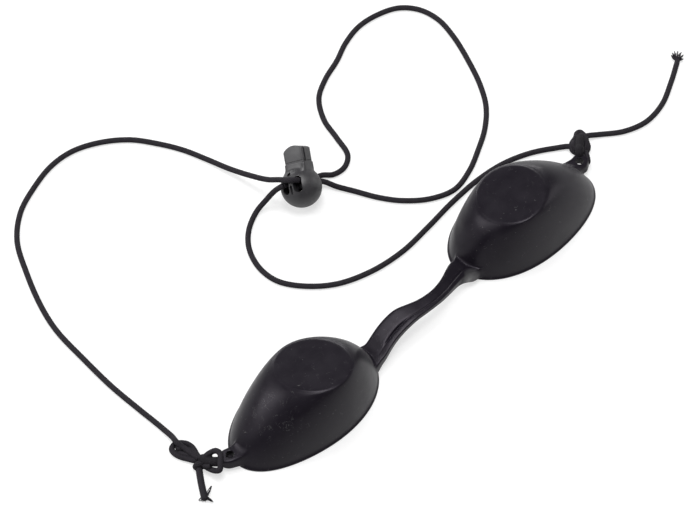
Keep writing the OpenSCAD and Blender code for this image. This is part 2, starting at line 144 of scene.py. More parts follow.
# %% Round the loop and on to the right lug
loop_run = on_floor([
    (11.9, 44, 1.7), (13.2, 41.6, 1.0), (15.5, 37.5), (18.8, 31.2), (22.5, 26.2), (28, 21.6),
    (34.5, 19.2), (41.5, 20.6), (48, 23.6), (54, 27), (59.5, 31.8), (63.5, 37.8), (67, 45.5), (70, 54),
    (71.2, 61), (70, 66.8), (66.5, 71.2), (61, 73.6), (54.5, 74.4), (48, 73), (42, 70.4), (35.5, 68.2),
    (30, 65), (26, 59), (24.3, 52.5), (22.5, 46.6), (19.1, 44.4), (15.5, 44.8), (12.9, 46.9),
])
right_run = on_floor([
    (-0.9, 48.3, 7.7), (-1.7, 49.4, 5.7), (-3.6, 50.2, 3.2), (-7, 50.4, 1.1), (-12.3, 47.8),
    (-16.2, 43.6), (-18.4, 37.6), (-18, 31.6), (-14.6, 26), (-8, 20.2), (1, 16.6), (11, 15.2),
    (21, 15.8), (31, 16.8), (41, 17), (49.5, 15.9), (57, 13.2), (62.6, 9.8), (65, 8, 0.95),
])
right_lead = on_floor([(65.9, 6.9, 1.3), (66.9, 6.6, 1.3)])
whole_route = left_lead + left_run + pass_left + loop_run + pass_right + right_run + right_lead
print("points on the whole route:", len(whole_route))

# %% [markdown]
# ## One smooth curve
#
# A curve object could go through the points, but its steps grow and shrink with their distance, and the
# braid's pitch has to stay the same all along. So a centripetal curve, which makes no loops of its own
# between uneven points, is worked out densely and then cut again into even steps.

# %% Lay the curve through the points
LINE_STEPS = 16


def curve_between(p0, p1, p2, p3):
    """Points from p1 up to p2 on the centripetal curve through all four."""
    t1 = math.sqrt((p1 - p0).length)
    t2 = t1 + math.sqrt((p2 - p1).length)
    t3 = t2 + math.sqrt((p3 - p2).length)
    found = []
    for k in range(LINE_STEPS):
        t = t1 + (t2 - t1) * k / LINE_STEPS
        a1 = p0.lerp(p1, t / t1)
        a2 = p1.lerp(p2, (t - t1) / (t2 - t1))
        a3 = p2.lerp(p3, (t - t2) / (t3 - t2))
        b1 = a1.lerp(a2, t / t2)
        b2 = a2.lerp(a3, (t - t1) / (t3 - t1))
        found.append(b1.lerp(b2, (t - t1) / (t2 - t1)))
    return found


def smooth_line(points, closed=False):
    """A dense smooth line through the points, and the index on it where each point lies."""
    n = len(points)
    line, marks = [], []
    for i in range(n if closed else n - 1):
        if closed:
            four = [points[(i + k) % n] for k in (-1, 0, 1, 2)]
        else:
            before = points[i - 1] if i > 0 else points[0] * 2 - points[1]
            after = points[i + 2] if i + 2 < n else points[-1] * 2 - points[-2]
            four = [before, points[i], points[i + 1], after]
        marks.append(len(line))
        line += curve_between(*four)
    line.append(points[0].copy() if closed else points[-1].copy())
    marks.append(len(line) - 1)
    return line, marks


whole_line, whole_marks = smooth_line(whole_route)

# %% Cut it into even steps
RING_STEP = 0.14 * MM


def even_steps(line):
    """The line in metres, cut into equal steps of about RING_STEP, and its whole length."""
    pts = np.array([tuple(p) for p in line]) * MM
    ways = np.linalg.norm(np.diff(pts, axis=0), axis=1)
    along = np.concatenate([[0], np.cumsum(ways)])
    count = max(2, round(along[-1] / RING_STEP))
    wanted = np.linspace(0, along[-1], count + 1)
    return np.stack([np.interp(wanted, along, pts[:, k]) for k in range(3)], axis=1), along[-1]


print("cord between its knots:", round(even_steps(whole_line)[1], 4), "m")

# %% Mark where the cord is held
at_left_run = len(left_lead)
at_pass_left = at_left_run + len(left_run) + 1
at_loop = at_pass_left + len(pass_left) - 2
at_pass_right = at_loop + len(loop_run) + 1
at_right_run = at_pass_right + len(pass_right) - 1
at_right_end = at_right_run + len(right_run)


def stretch(first, last):
    """The even path in metres between two of the route's points."""
    return even_steps(whole_line[whole_marks[first]:whole_marks[last] + 1])[0]


# %% [markdown]
# ## The braid
#
# The cord's cover is braided: eight strands wind each way round a rubber core, and each goes over one
# strand and under the next. A pattern on a smooth tube would look flat where light comes from the side,
# so the strands are real relief. At each point of a ring, the height of both crossing strands is worked
# out, and the higher one is the surface.

# %% Height of the braid
STRANDS = 8
BULGE = 0.55


def strand(place):
    """How far a strand bulges at a place across the strands, and 1 or -1 in turns from one to the next."""
    number = np.floor(place)
    return np.sqrt(np.clip(1 - (2 * (place - number) - 1) ** 2, 0, 1)), 1 - 2 * (number % 2)


def braid_height(turns, rows):
    """Height from 0 to 1 of the braid at shares of a turn and at rows along the cord."""
    a = turns * STRANDS + rows
    b = turns * STRANDS - rows
    (bulge_a, sign_a), (bulge_b, sign_b) = strand(a), strand(b)
    over_a = BULGE * bulge_a + (1 - BULGE) * sign_a * np.sin(np.pi * b)
    over_b = BULGE * bulge_b - (1 - BULGE) * sign_b * np.sin(np.pi * a)
    return np.clip(np.maximum(over_a, over_b), 0, 1)


# %% [markdown]
# ## A tube round a path
#
# A tube is a ring of points at each step of the path. Each ring needs two directions across the path.
# Taken afresh at each step, they would jump where the path turns, and the braid would twist there. So
# they are carried along from ring to ring, and turned only as far as the path bends.

# %% Carry two directions along the path


def carried_frames(path, closed=False):
    """Two unit vectors across the path at each point, carried along without twist."""
    if closed:
        ways = np.roll(path, -1, axis=0) - np.roll(path, 1, axis=0)
    else:
        ways = np.gradient(path, axis=0)
    ways /= np.linalg.norm(ways, axis=1)[:, None]
    side = np.cross(ways[0], (0.0, 0.0, 1.0))
    sides = []
    for way in ways:
        side = side - way * side.dot(way)
        side = side / np.linalg.norm(side)
        sides.append(side)
    sides = np.array(sides)
    if closed:
        # The first and last ring are brought together by an even twist over the whole loop
        end = sides[-1] - ways[0] * sides[-1].dot(ways[0])
        end /= np.linalg.norm(end)
        gap = math.atan2(np.cross(end, sides[0]).dot(ways[0]), end.dot(sides[0]))
        turn = np.linspace(0, gap, len(path))[:, None]
        sides = sides * np.cos(turn) + np.cross(ways, sides) * np.sin(turn)
    return sides, np.cross(ways, sides)



# %% Rings of points, and the faces between them


def ring_points(path, radii, closed=False):
    """A ring of points round each point of the path, at the given radii."""
    sides, ups = carried_frames(path, closed)
    angle = np.linspace(0, 2 * np.pi, radii.shape[1], endpoint=False)
    across = (np.cos(angle)[None, :, None] * sides[:, None, :]
              + np.sin(angle)[None, :, None] * ups[:, None, :])
    return (path[:, None, :] + radii[:, :, None] * across).reshape(-1, 3)


def ring_faces(rings, around, rises, closed=False):
    """Faces and UVs of a tube's wall and, if it is open, of its two ends."""
    faces, uvs = [], []
    for i in range(rings if closed else rings - 1):
        j = (i + 1) % rings
        for k in range(around):
            after = (k + 1) % around
            faces.append((i * around + k, i * around + after, j * around + after, j * around + k))
            u0, u1 = k / around, (k + 1) / around
            uvs += [(u0, rises[i]), (u1, rises[i]), (u1, rises[i + 1]), (u0, rises[i + 1])]
    if not closed:
        faces.append(tuple(range(around - 1, -1, -1)))
        faces.append(tuple((rings - 1) * around + k for k in range(around)))
        uvs += [(0.5, rises[0])] * around + [(0.5, rises[-1])] * around
    return faces, uvs


# %% [markdown]
# ## A braided tube
#
# The relief is 13 percent of the cord's radius, as on real elastic of this size. It is kept at each
# point as an attribute too, so that the material can tell crowns from gaps. A doubled or worn stretch
# of cord looks smoother, and the spring is plain wire, so the relief can be turned down.

# %% Make one braided tube
AROUND = 32
RELIEF = 0.13
WORN_HEIGHT, THIN_SHARE = 0.35, 0.72


def tube_data(path, radius, closed=False, thin_end=0.0, around=AROUND, relief=RELIEF):
    """Points, faces, UVs and braid heights of a tube. Thin_end narrows the last part of an open one."""
    n = len(path)
    steps = np.linalg.norm(np.diff(path, axis=0), axis=1)
    along = np.concatenate([[0], np.cumsum(steps)])
    pitch = 2 * math.pi * radius / STRANDS
    rows = along / pitch
    if closed:
        total = along[-1] + np.linalg.norm(path[0] - path[-1])
        rows = along / total * 2 * round(total / pitch / 2)
    turns = np.linspace(0, 2 * np.pi, around, endpoint=False) / (2 * np.pi)
    height = braid_height(turns[None, :], rows[:, None])
    r = radius * (1 - relief + relief * height)
    share = min(1, relief / RELIEF)
    # Where the relief is turned down, the height kept for the braid's painted shade and light moves towards a
    # fixed middle value.
    height = height * share + WORN_HEIGHT * (1 - share)
    if thin_end:
        left = np.clip((along[-1] - along) / thin_end, 0, 1)
        r = r * (THIN_SHARE + (1 - THIN_SHARE) * np.sqrt(left))[:, None]
    rises = np.append(rows, rows[-1] + rows[1]) / STRANDS if closed else rows / STRANDS
    faces, uvs = ring_faces(n, around, rises, closed)
    return ring_points(path, r, closed), faces, uvs, height.reshape(-1)


lock_paths = stretch(at_pass_left, at_loop), stretch(at_pass_right, at_right_run)
lock_tubes = [tube_data(path, CORD_RADIUS) for path in lock_paths]
print("faces of the cord in the lock:", sum(len(tube[1]) for tube in lock_tubes))

# %% Join tubes to one piece


def braided_piece(name, tubes):
    """One object from the data of several tubes, which may pass through each other."""
    points, faces, uvs, heights = [], [], [], []
    start = 0
    for tube in tubes:
        points.append(tube[0])
        faces += [tuple(i + start for i in face) for face in tube[1]]
        uvs += tube[2]
        heights.append(tube[3])
        start += len(tube[0])
    mesh = bpy.data.meshes.new(name)
    mesh.from_pydata(np.concatenate(points).tolist(), [], faces)
    layer = mesh.uv_layers.new(name="UVMap")
    layer.data.foreach_set("uv", np.array(uvs, dtype=np.float32).reshape(-1))
    attribute = mesh.attributes.new("braid_height", "FLOAT", "POINT")
    attribute.data.foreach_set("value", np.concatenate(heights).astype(np.float32))
    mesh.polygons.foreach_set("use_smooth", [True] * len(mesh.polygons))
    mesh.update()
    piece = bpy.data.objects.new(name, mesh)
    bpy.context.scene.collection.objects.link(piece)
    print(name, "faces:", len(faces))
    return piece


# %% [markdown]
# ## Four stretches of cord
#
# The cord is cut into pieces where it is held: at the left lug, in the lock and at the right lug. The
# loop behind the lock stays on the floor, and two short tubes fill the lock's slots.

# %% Lay the stretches
cord_paths, cord_pieces = {}, {}
for name, first, last in (
    ("head_cord_left", at_left_run, at_pass_left),
    ("head_cord_loop", at_loop, at_pass_right),
    ("head_cord_right", at_right_run, at_right_end),
):
    path = stretch(first, last)
    path[:, 2] = np.maximum(path[:, 2], CORD_RADIUS)
    cord_paths[name] = path
    cord_pieces[name] = braided_piece(name, [tube_data(path, CORD_RADIUS)])
cord_in_lock = braided_piece("head_cord_in_lock", lock_tubes)
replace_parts(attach(cord_in_lock, "root"), "cord_in_lock")

# %% [markdown]
# ## Frayed ends
#
# Both ends of the cord are simply cut, so the braid opens there and the yarns and the rubber threads of
# the core stand out. A particle system could grow them, but each yarn has to be a closed mesh. So they
# are thin bent tubes, some spread like a brush and some held together in tufts. The draws are seeded,
# and each run gives the same yarns.

# %% Make one yarn
YARN_SIDES = 5


def yarn_tube(points, radius):
    """A thin smooth tube that narrows to its tip, with the same kinds of data as a braided one."""
    path = np.array(points)
    n = len(path)
    radii = np.repeat((radius * np.linspace(1, 0.55, n))[:, None], YARN_SIDES, axis=1)
    faces, uvs = ring_faces(n, YARN_SIDES, np.arange(n) / n)
    return ring_points(path, radii), faces, uvs, np.full(n * YARN_SIDES, 0.9)


# %% Spread yarns like a brush
BRUSH_YARNS = 30


def frayed_end(path, seed, reach, open_out):
    """Loose yarns that leave the end of a cord's path and spread."""
    draw = random.Random(seed)
    tip, way = Vector(path[-1]), Vector(path[-1] - path[-6]).normalized()
    side = way.cross(Vector((0, 0, 1))).normalized()
    up = side.cross(way)
    yarns = []
    for _ in range(BRUSH_YARNS):
        a = draw.uniform(0, 2 * math.pi)
        out = CORD_RADIUS * 0.75 * math.sqrt(draw.random())
        start = tip - way * 0.5 * MM + (side * math.cos(a) + up * math.sin(a)) * out
        spread = draw.uniform(0.1, open_out)
        far = reach * draw.uniform(0.4, 1.1)
        lean = side * math.cos(a) * spread + up * math.sin(a) * spread * 0.4
        curl = draw.uniform(-0.5, 0.5)
        points = []
        for j in range(7):
            s = j / 6
            p = start + way * (far * (s - 0.35 * spread * s * s)) + lean * (far * s * s)
            p += side * (curl * far * s * s * s)
            p.z = max(p.z, 0.12 * MM)
            points.append(tuple(p))
        yarns.append(yarn_tube(points, 0.1 * MM * draw.uniform(0.7, 1.2)))
    return yarns



# %% Hold yarns together in a tuft


def tuft(root, tip, seed, count, width):
    """A bundle of yarns that stays together from a root to a tip, given in millimetres."""
    draw = random.Random(seed)
    root, tip = Vector(root), Vector(tip)
    yarns = []
    for _ in range(count):
        off = Vector([draw.uniform(-width, width) for _ in range(3)])
        bend = Vector([draw.uniform(-width, width) for _ in range(3)])
        end = tip + (tip - root) * draw.uniform(-0.3, 0.1)
        points = []
        for j in range(6):
            s = j / 5
            p = root.lerp(end, s) + off * (1 - 0.6 * s) + bend * math.sin(math.pi * s)
            p.z = max(p.z, 0.13)
            points.append(tuple(p * MM))
        yarns.append(yarn_tube(points, 0.11 * MM * draw.uniform(0.8, 1.2)))
    return yarns


left_tufts = (
    tuft((-73.6, -1.3, 0.9), (-71.1, -0.2, 0.8), 21, 14, 0.26)
    + tuft((-74.1, -1.6, 0.8), (-73.8, -3.5, 0.7), 22, 14, 0.26)
    + tuft((-74.9, -0.9, 0.8), (-76.0, -0.8, 0.7), 23, 7, 0.22)
)
print("yarns in the left end's tufts:", len(left_tufts))

# %% [markdown]
# ## The left knot
#
# The cord passes under its own loop and is hitched round the lug, over both its sides and through its
# hole. A knot could be tied by simulation, but a pulled knot is mostly strands pressed together. So each
# strand that shows is laid on a few listed points, and the strands run into each other where they are
# pressed. Where two strands lie as one, a thicker and smoother tube stands for both.

# %% Tubes and rings from a few points
DOUBLED_RELIEF = 0.03


def cord_tube(points, radius=CORD_RADIUS, relief=RELIEF):
    """An open stretch of cord on a smooth line through the points."""
    return tube_data(even_steps(smooth_line(on_floor(points))[0])[0], radius, relief=relief)


def cord_ring(points):
    """A closed ring of cord, for a strand whose two ends are hidden in the knot."""
    path = even_steps(smooth_line(on_floor(points), closed=True)[0])[0][:-1]
    return tube_data(path, CORD_RADIUS, closed=True)



# %% Strands of the left knot's loop
knot_left_loop = [
    (-68.1, 7.5, 1.2), (-67.5, 9, 1.0), (-66.9, 11.1, 0.8), (-67.1, 12.7, 0.8), (-67.9, 13.9, 0.8),
    (-69.3, 14.8, 0.8), (-70.8, 14.4, 0.8), (-71.2, 12.9, 0.8), (-70.8, 11.2, 0.8), (-69.9, 9.4, 0.9),
    (-69.1, 7.9, 1.1),
]
loop_left_fill = [
    (-70.4, 13.2, 1.5), (-69.2, 12.6, 1.3), (-68.2, 11.2, 1.1), (-67.8, 9.6, 1.2), (-68.2, 8, 1.6),
]
loop_left_low = [
    (-70.5, 13.0, 0.95), (-70.2, 12.0, 0.85), (-69.8, 11.2, 0.9), (-69.3, 10.3, 0.95),
    (-68.9, 9.3, 1.0), (-68.6, 8.2, 1.3),
]
collar_left = [
    (-70.3, 6.35, 1.4), (-69.9, 6.1, 2.2), (-69.3, 5.7, 2.45), (-68.8, 5.3, 1.9), (-68.9, 5.3, 1.1),
    (-69.5, 5.8, 0.8), (-70.1, 6.2, 0.85),
]

# %% Strands of the hitch round the left lug
hitch_left = [
    (-68.4, 6.5, 1.8), (-67.3, 6.2, 2.6), (-66, 5.8, 3.4), (-64.7, 4.8, 4.3), (-64.6, 3.4, 4.5),
    (-66.4, 1.4, 4.5), (-67.5, 0.4, 4.0), (-68, 1.5, 2.6), (-68.3, 3.3, 1.6), (-68.5, 4.8, 1.4),
]
hitch_left_middle = [
    (-68.6, 6.7, 2.2), (-67.9, 5.4, 2.4), (-67, 3.9, 2.9), (-66.2, 2.6, 3.5), (-65.4, 2.2, 3.3),
]
hitch_left_upper = [(-68.4, 7.3, 2.0), (-67.4, 6.6, 2.3), (-66.6, 5.8, 2.5), (-66.2, 5.0, 2.8)]
hitch_left_lower = [(-68.9, 5.4, 1.8), (-68.7, 4.6, 2.1), (-68.4, 3.9, 2.4), (-67.9, 3.3, 2.8)]
hitch_left_under = [
    (-67.6, 5.6, 0.8), (-66.2, 4.4, 0.78), (-64.9, 3.4, 0.76), (-63.4, 2.5, 0.9), (-62.75, 1.95, 1.7),
    (-62.65, 1.8, 2.4),
]

# %% Tie the left knot and fray its end
DOUBLED_LEFT = 1.2075 * MM
WORN_RADIUS = 0.9 * MM
THIN_END = 1.2 * MM
tail_left = on_floor([
    (-69.2, 6.5, 1.6), (-70, 5.4, 1.2), (-71.3, 3.6, 0.9), (-72.6, 1.7, 0.9), (-74.8, -1.8, 0.9),
])
tail_left_path, tail_left_length = even_steps(smooth_line(tail_left)[0])
knot_left = braided_piece("knot_left_lug", [
    cord_tube(left_lead + left_run[:1]), cord_tube(hitch_left_middle, DOUBLED_LEFT, DOUBLED_RELIEF),
    cord_tube(loop_left_fill),
    cord_tube(loop_left_low), cord_tube(hitch_left_upper), cord_tube(hitch_left_lower),
    cord_tube(hitch_left_under), cord_ring(collar_left), cord_ring(knot_left_loop), cord_ring(hitch_left),
    tube_data(tail_left_path, WORN_RADIUS, thin_end=THIN_END),
    *frayed_end(tail_left_path, 4, 1.0 * MM, 0.5), *left_tufts,
])
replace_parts(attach(knot_left, "left_cup"), "knot_left", "tail_left")
print("left tail", round(tail_left_length, 4), "m")

# %% [markdown]
# ## The right knot and its tail
#
# On the right, the cord is wrapped round a fat standing strand close to the lug, and the knot shows two
# round lobes. The free end runs out in a flat curve and ends in a wide brush of yarns. That brush is a
# piece of its own, and the tail's piece is only its even tube, which has the cord's width.

# %% Strands of the right knot
knot_right_wrap = [
    (65.3, 5, 1.0), (65.2, 5.8, 1.2), (65.9, 6.9, 1.3), (66.9, 7.5, 1.4), (68, 7.7, 1.5), (69, 8.1, 1.5),
    (69.8, 8.6, 1.4), (70.7, 8.4, 1.4), (70.8, 7.4, 1.5), (70.4, 6.1, 1.6), (69.7, 5, 1.5),
    (68.9, 3.7, 1.3), (67.9, 3.1, 1.1), (67, 3.1, 0.9), (65.9, 3.8, 0.8),
]
knot_right_core = [
    (69, 6.8, 2.2), (67.7, 5.7, 2.9), (66, 4.3, 3.4), (64.9, 3.3, 3.9), (64.3, 2.8, 3.6), (64.1, 2.7, 3.0),
]
hitch_right = [
    (66.5, 2.7, 2.2), (65.4, 1, 3.2), (64.9, 0.2, 2.8), (65.1, 0.6, 0.9), (65, 1.7, 0.8), (64.8, 3, 0.8),
    (65, 3.8, 0.9), (65.4, 4, 1.4),
]
lobe_left_fill = [
    (66.9, 6.9, 2.0), (65.9, 6.1, 2.2), (65.7, 5.1, 2.0), (66.6, 4.2, 1.8), (67.4, 4.0, 1.4),
    (67.9, 5.2, 1.0), (67.8, 6.4, 1.2),
]
lobe_right_fill = [
    (69.6, 7.2, 2.0), (69.9, 6.2, 2.1), (69.2, 4.9, 2.0), (68.2, 3.9, 1.9), (67.3, 3.9, 1.6),
    (67.6, 5.0, 0.9), (68.8, 6.6, 1.0),
]

# %% Tie the right knot
DOUBLED_RIGHT = 1.155 * MM
knot_right = braided_piece("knot_right_lug", [
    cord_tube(right_run[-1:] + right_lead), cord_tube(knot_right_core, DOUBLED_RIGHT, DOUBLED_RELIEF),
    cord_ring(knot_right_wrap), cord_ring(hitch_right), cord_ring(lobe_left_fill), cord_ring(lobe_right_fill),
])
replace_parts(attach(knot_right, "right_cup"), "knot_right")

# %% Lay the right tail and fray its end
tail_right = on_floor([
    (70.7, 6.4, 1.5), (71.8, 6, 1.2), (74.2, 4.5), (79.6, 0.6), (86, -1.4), (93, -0.6), (100, 2.5),
    (107.1, 6.35),
])
tail_right_path, tail_right_length = even_steps(smooth_line(tail_right)[0])
tail_piece = braided_piece("cord_tail_right", [tube_data(tail_right_path, CORD_RADIUS, thin_end=THIN_END)])
tuft_root = (106.5, 6.3, 0.9)
tuft_tips = [
    (106.9, 8.7, 0.9), (107.6, 8.9, 0.9), (108.3, 8.7, 0.9), (108.9, 8.0, 0.9), (109.5, 7.2, 0.9),
    (109.1, 6.3, 0.9), (108.2, 5.5, 0.9),
]
yarns = frayed_end(tail_right_path, 9, 1.6 * MM, 0.8)
for seed, tip in enumerate(tuft_tips, start=31):
    yarns += tuft(tuft_root, tip, seed, 11, 0.3)
fray_right = braided_piece("cord_fray_right", yarns)
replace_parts(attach(tail_piece, "right_cup"), "tail_right")
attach(fray_right, "right_cup")
print("right tail", round(tail_right_length, 4), "m")

# %% [markdown]
# ## What moves with what
#
# The outer stretches are only baked into place, and the loop rides on the root. A cord on one body only
# would tear from its lug or slide through the lock.

# %% Put the stretches of cord in place of the CAD ones
left, loop, right = cord_pieces.values()
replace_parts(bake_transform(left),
            "cord_left_run")
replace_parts(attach(loop, "root"), "cord_loop")
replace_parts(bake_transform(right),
            "cord_right_run")
cord_paths["cord_tail_right"] = tail_right_path
for piece, far_end, partner in (
    (left, "object", knot_left), (loop, "object", cord_in_lock), (right, "object", knot_right),
    (tail_piece, "bare", fray_right),
):
    path = cord_paths[piece.name]
all_cord = (left, loop, right, knot_left, knot_right, cord_in_lock, tail_piece, fray_right)

# %% [markdown]
# ## The moulding
#
# Cups, lugs and strap are one soft moulding, so no seam may show where they meet. Joining three closed
# solids would leave a hard line there. Instead a coarse cage is drawn out of one circle: ring by ring up
# the cup's side, over the flat front and back down inside. The faces where the strap and the lug begin
# are then taken out, and the edges of the holes are extruded on as the strap and the lug. Subdivision
# rounds the whole cage, and the meeting places become soft fillets as in a real mould.

# %% The rim and the flat front, in the cup's own frame with x to the nose and y to the brow
CUP_SPACING = 78.8
RIM_LONG, RIM_SHORT = 22.8, 12.8
FRONT_LONG, FRONT_SHORT = 9.8, 8.8
FRONT_TURN = math.radians(-58.5)
FRONT_AT = (3.8, 0.2)
CUP_HEIGHT = 16.7
FALL_NOSE, FALL_BROW = math.tan(math.radians(5.5)), math.tan(math.radians(11.8))


def rim_point(t, inset=0.0):
    """The rim is an oval with a little swell, which makes it a teardrop."""
    swell = -0.31 * math.cos(2 * t) - 0.51 * math.sin(2 * t) - 0.31 * math.cos(3 * t) - 0.17 * math.sin(3 * t)
    return Vector(((RIM_LONG + swell - inset) * math.cos(t), (RIM_SHORT + swell - inset) * math.sin(t)))


def front_point(t, inset=0.0):
    """The flat front is an oval that is turned and stands off the middle."""
    a = (FRONT_LONG - inset) * math.cos(t - FRONT_TURN)
    b = (FRONT_SHORT - inset) * math.sin(t - FRONT_TURN)
    c, s = math.cos(FRONT_TURN), math.sin(FRONT_TURN)
    return Vector((a * c - b * s + FRONT_AT[0], a * s + b * c + FRONT_AT[1]))


def front_height(p):
    """The flat front falls towards the nose and towards the brow."""
    return CUP_HEIGHT - FALL_NOSE * (p.x - FRONT_AT[0]) - FALL_BROW * (p.y - FRONT_AT[1])


print("cup", 2 * RIM_LONG, "by", 2 * RIM_SHORT, "by", CUP_HEIGHT, "mm")

# %% Rings of points for the cage
COLUMNS = 96
FULLNESS = 1.43


def ring_of(place_at):
    """A ring with a point for each column, from a function of the angle."""
    return [Vector(place_at(2 * math.pi * k / COLUMNS)) for k in range(COLUMNS)]


def flat_ring(inset, z):
    """A ring that follows the rim at one height."""
    return ring_of(lambda t: (*rim_point(t, inset), z))


def side_ring(share, rim_inset, front_inset, drop):
    """A ring at a share of the way from the rim to the front, on a full, rounded side."""
    rise = (1 - (1 - share) ** FULLNESS) ** (1 / FULLNESS)

    def place_at(t):
        front = front_point(t, front_inset)
        x, y = rim_point(t, rim_inset) * (1 - share) + front * share
        return x, y, (front_height(front) - drop) * rise

    return ring_of(place_at)


def front_ring(inset, drop=0.0):
    """A ring on the flat front, or under it by the drop."""

    def place_at(t):
        p = front_point(t, inset)
        return p.x, p.y, front_height(p) - drop

    return ring_of(place_at)


# %% [markdown]
# ## The shell's thickness
#
# Solidify could give the wall its thickness, but it would repeat the lip and the chamfer round the front
# on the inside, which is plain. So the inside is drawn as rings of its own. Rings that lie close together
# keep an edge crisp after subdivision: the lip of the rim, and the chamfer round the flat front.

# %% All rings of the cup, outside and inside
WALL = 1.3
LIP_OUT, LIP_HEIGHT = 0.35, 0.8
FRONT_EDGE = 0.24
INNER = WALL + LIP_OUT / 2
side_shares = [0.02, 0.05, 0.1, 0.17, 0.25, 0.34, 0.44, 0.55, 0.66, 0.77, 0.87, 0.94, 0.975]
outside_rings = [
    flat_ring(0.22, 0.0), flat_ring(0.02, 0.16), flat_ring(0.0, 0.45),
    flat_ring(0.1, LIP_HEIGHT - 0.08), flat_ring(LIP_OUT, LIP_HEIGHT + 0.2),
    *[side_ring(share, LIP_OUT, -0.2, FRONT_EDGE) for share in side_shares],
    front_ring(-0.2, FRONT_EDGE), front_ring(0.22), front_ring(1.2), front_ring(3.4), front_ring(6.2),
]
inside_rings = [
    flat_ring(INNER - 0.22, 0.0), flat_ring(INNER, 0.22),
    *[side_ring(share, INNER, WALL / 2, WALL) for share in (0.05, 0.12, 0.25, 0.42, 0.62, 0.82, 0.96)],
    front_ring(WALL / 2, WALL), front_ring(1.6, WALL), front_ring(4.6, WALL),
]
print("rings outside", len(outside_rings), "inside", len(inside_rings))

# %% [markdown]
# ## Drawing a ring further
#
# Every step of the cage is the same move: select the last ring, extrude its edges and lay each new point
# on its place in the next ring. A plain scale could not do it, because the teardrop rim turns into a
# tilted oval on the way up.

# %% Select by place


def select_where(mesh, kind, test):
    """In edit mode, selects only the verts, edges or faces that pass the test."""
    bpy.ops.mesh.select_all(action="DESELECT")
    work = bmesh.from_edit_mesh(mesh)
    for part in getattr(work, kind):
        if test(part):
            part.select_set(True)
    bmesh.update_edit_mesh(mesh)


def place_key(p):
    """A point's place as a key that forgives the last digits."""
    return (round(p[0], 6), round(p[1], 6), round(p[2], 6))


def select_ring(mesh, ring):
    """Selects the edges between points that lie on the ring."""
    keys = {place_key(p) for p in ring}
    select_where(mesh, "edges", lambda edge: all(place_key(vert.co) in keys for vert in edge.verts))


# %% Extrude a ring through the next ones


def draw_on(mesh, ring, next_rings):
    """Extrudes the selected ring through the next ones, one after the other."""
    for next_ring in next_rings:
        bpy.ops.mesh.extrude_edges_move()
        work = bmesh.from_edit_mesh(mesh)
        goal = {place_key(p): q for p, q in zip(ring, next_ring)}
        for vert in work.verts:
            if vert.select:
                vert.co = goal[place_key(vert.co)]
        bmesh.update_edit_mesh(mesh)
        ring = next_ring


def metres(rings):
    return [[p * MM for p in ring] for ring in rings]


def draw_cup(side):
    """The closed cage of one cup, in edit mode."""
    out_rings, in_rings = metres(outside_rings), metres(inside_rings)
    bpy.ops.mesh.primitive_circle_add(vertices=COLUMNS, radius=RIM_LONG * MM, location=(0, 0, 0))
    half = bpy.context.object
    half.name = half.data.name = "moulding_" + side
    for vert, point in zip(half.data.vertices, out_rings[0]):
        vert.co = point
    bpy.ops.object.mode_set(mode="EDIT")
    bpy.ops.mesh.select_mode(type="EDGE")
    bpy.ops.mesh.select_all(action="SELECT")
    draw_on(half.data, out_rings[0], out_rings[1:])
    bpy.ops.mesh.edge_face_add()
    select_ring(half.data, out_rings[0])
    draw_on(half.data, out_rings[0], in_rings)
    bpy.ops.mesh.edge_face_add()
    return half


# %% [markdown]
# ## Drawing something out of the side
#
# Strap and lug both begin as a patch of the cup's side that is taken out. The hole's edge is a closed
# loop with corners, so each of its points gets two shares: how far across the patch it lies, and how far
# up. The cross-sections are then given by these shares, whatever the number of columns and rows.

# %% Take out a patch and draw its edge on
ROOT_ROWS = (4, 7)


def grow(mesh, columns, make_sections):
    """Takes out the side's faces between two columns, and draws the edge through the sections."""
    (low, high), (first, last) = ROOT_ROWS, columns
    rings = metres(outside_rings[:high + 1])
    patch = {place_key(rings[row][column % COLUMNS])
             for row in range(low, high + 1) for column in range(first, last + 1)}
    select_where(mesh, "faces", lambda face: all(place_key(vert.co) in patch for vert in face.verts))
    bpy.ops.mesh.delete(type="FACE")
    corners = ([(low, column) for column in range(first, last)]
               + [(row, last) for row in range(low, high)]
               + [(high, column) for column in range(last, first, -1)]
               + [(row, first) for row in range(high, low, -1)])
    loop = [rings[row][column % COLUMNS] for row, column in corners]
    shares = [((column - first) / (last - first), (row - low) / (high - low)) for row, column in corners]
    select_ring(mesh, loop)
    draw_on(mesh, loop, make_sections(loop, shares))


# %% [markdown]
# ## The strap's line
#
# The strap leaves each cup low and wide, rises to a narrow crown over the nose and is twisted a little as
# it lies. The same rows of numbers as in the CAD model give its place, height and width. A straight line
# from row to row would show as kinks, so a smooth curve goes through them.

# %% Rows of the strap: place along x, y of the middle, share of the way down, share of the width
CROWN_HALF = 5.5
STRAP_HALF = CUP_SPACING / 2 - RIM_LONG + 1.2
TOP_CROWN, TOP_FALL = 6.3, 3.8
WIDTH_LEAST, WIDTH_MORE = 3.8, 2.6
THICK_LEAST, THICK_MORE = 1.8, 1.6
strap_rows = [
    (-2.41, -2.7, 1.0, 0.77), (-2.09, -2.6, 1.0, 0.85), (-1.85, -2.4, 0.78, 1.0), (-1.65, -1.85, 0.55, 0.97),
    (-1.42, -1.35, 0.36, 0.93), (-1.22, -1.2, 0.2, 0.9), (-1, -1.3, 0.06, 0.83), (-0.5, -1.85, 0, 0.46),
    (0, -2.45, 0, 0.16), (0.5, -2.8, 0, 0.02), (1, -2.8, 0.06, 0), (1.22, -2.35, 0.2, 0.06),
    (1.42, -1.7, 0.36, 0.21), (1.65, -0.8, 0.55, 0.5), (1.85, -0.2, 0.78, 0.65), (2.09, -0.2, 1.0, 0.7),
    (2.41, -0.2, 1.0, 0.7),
]


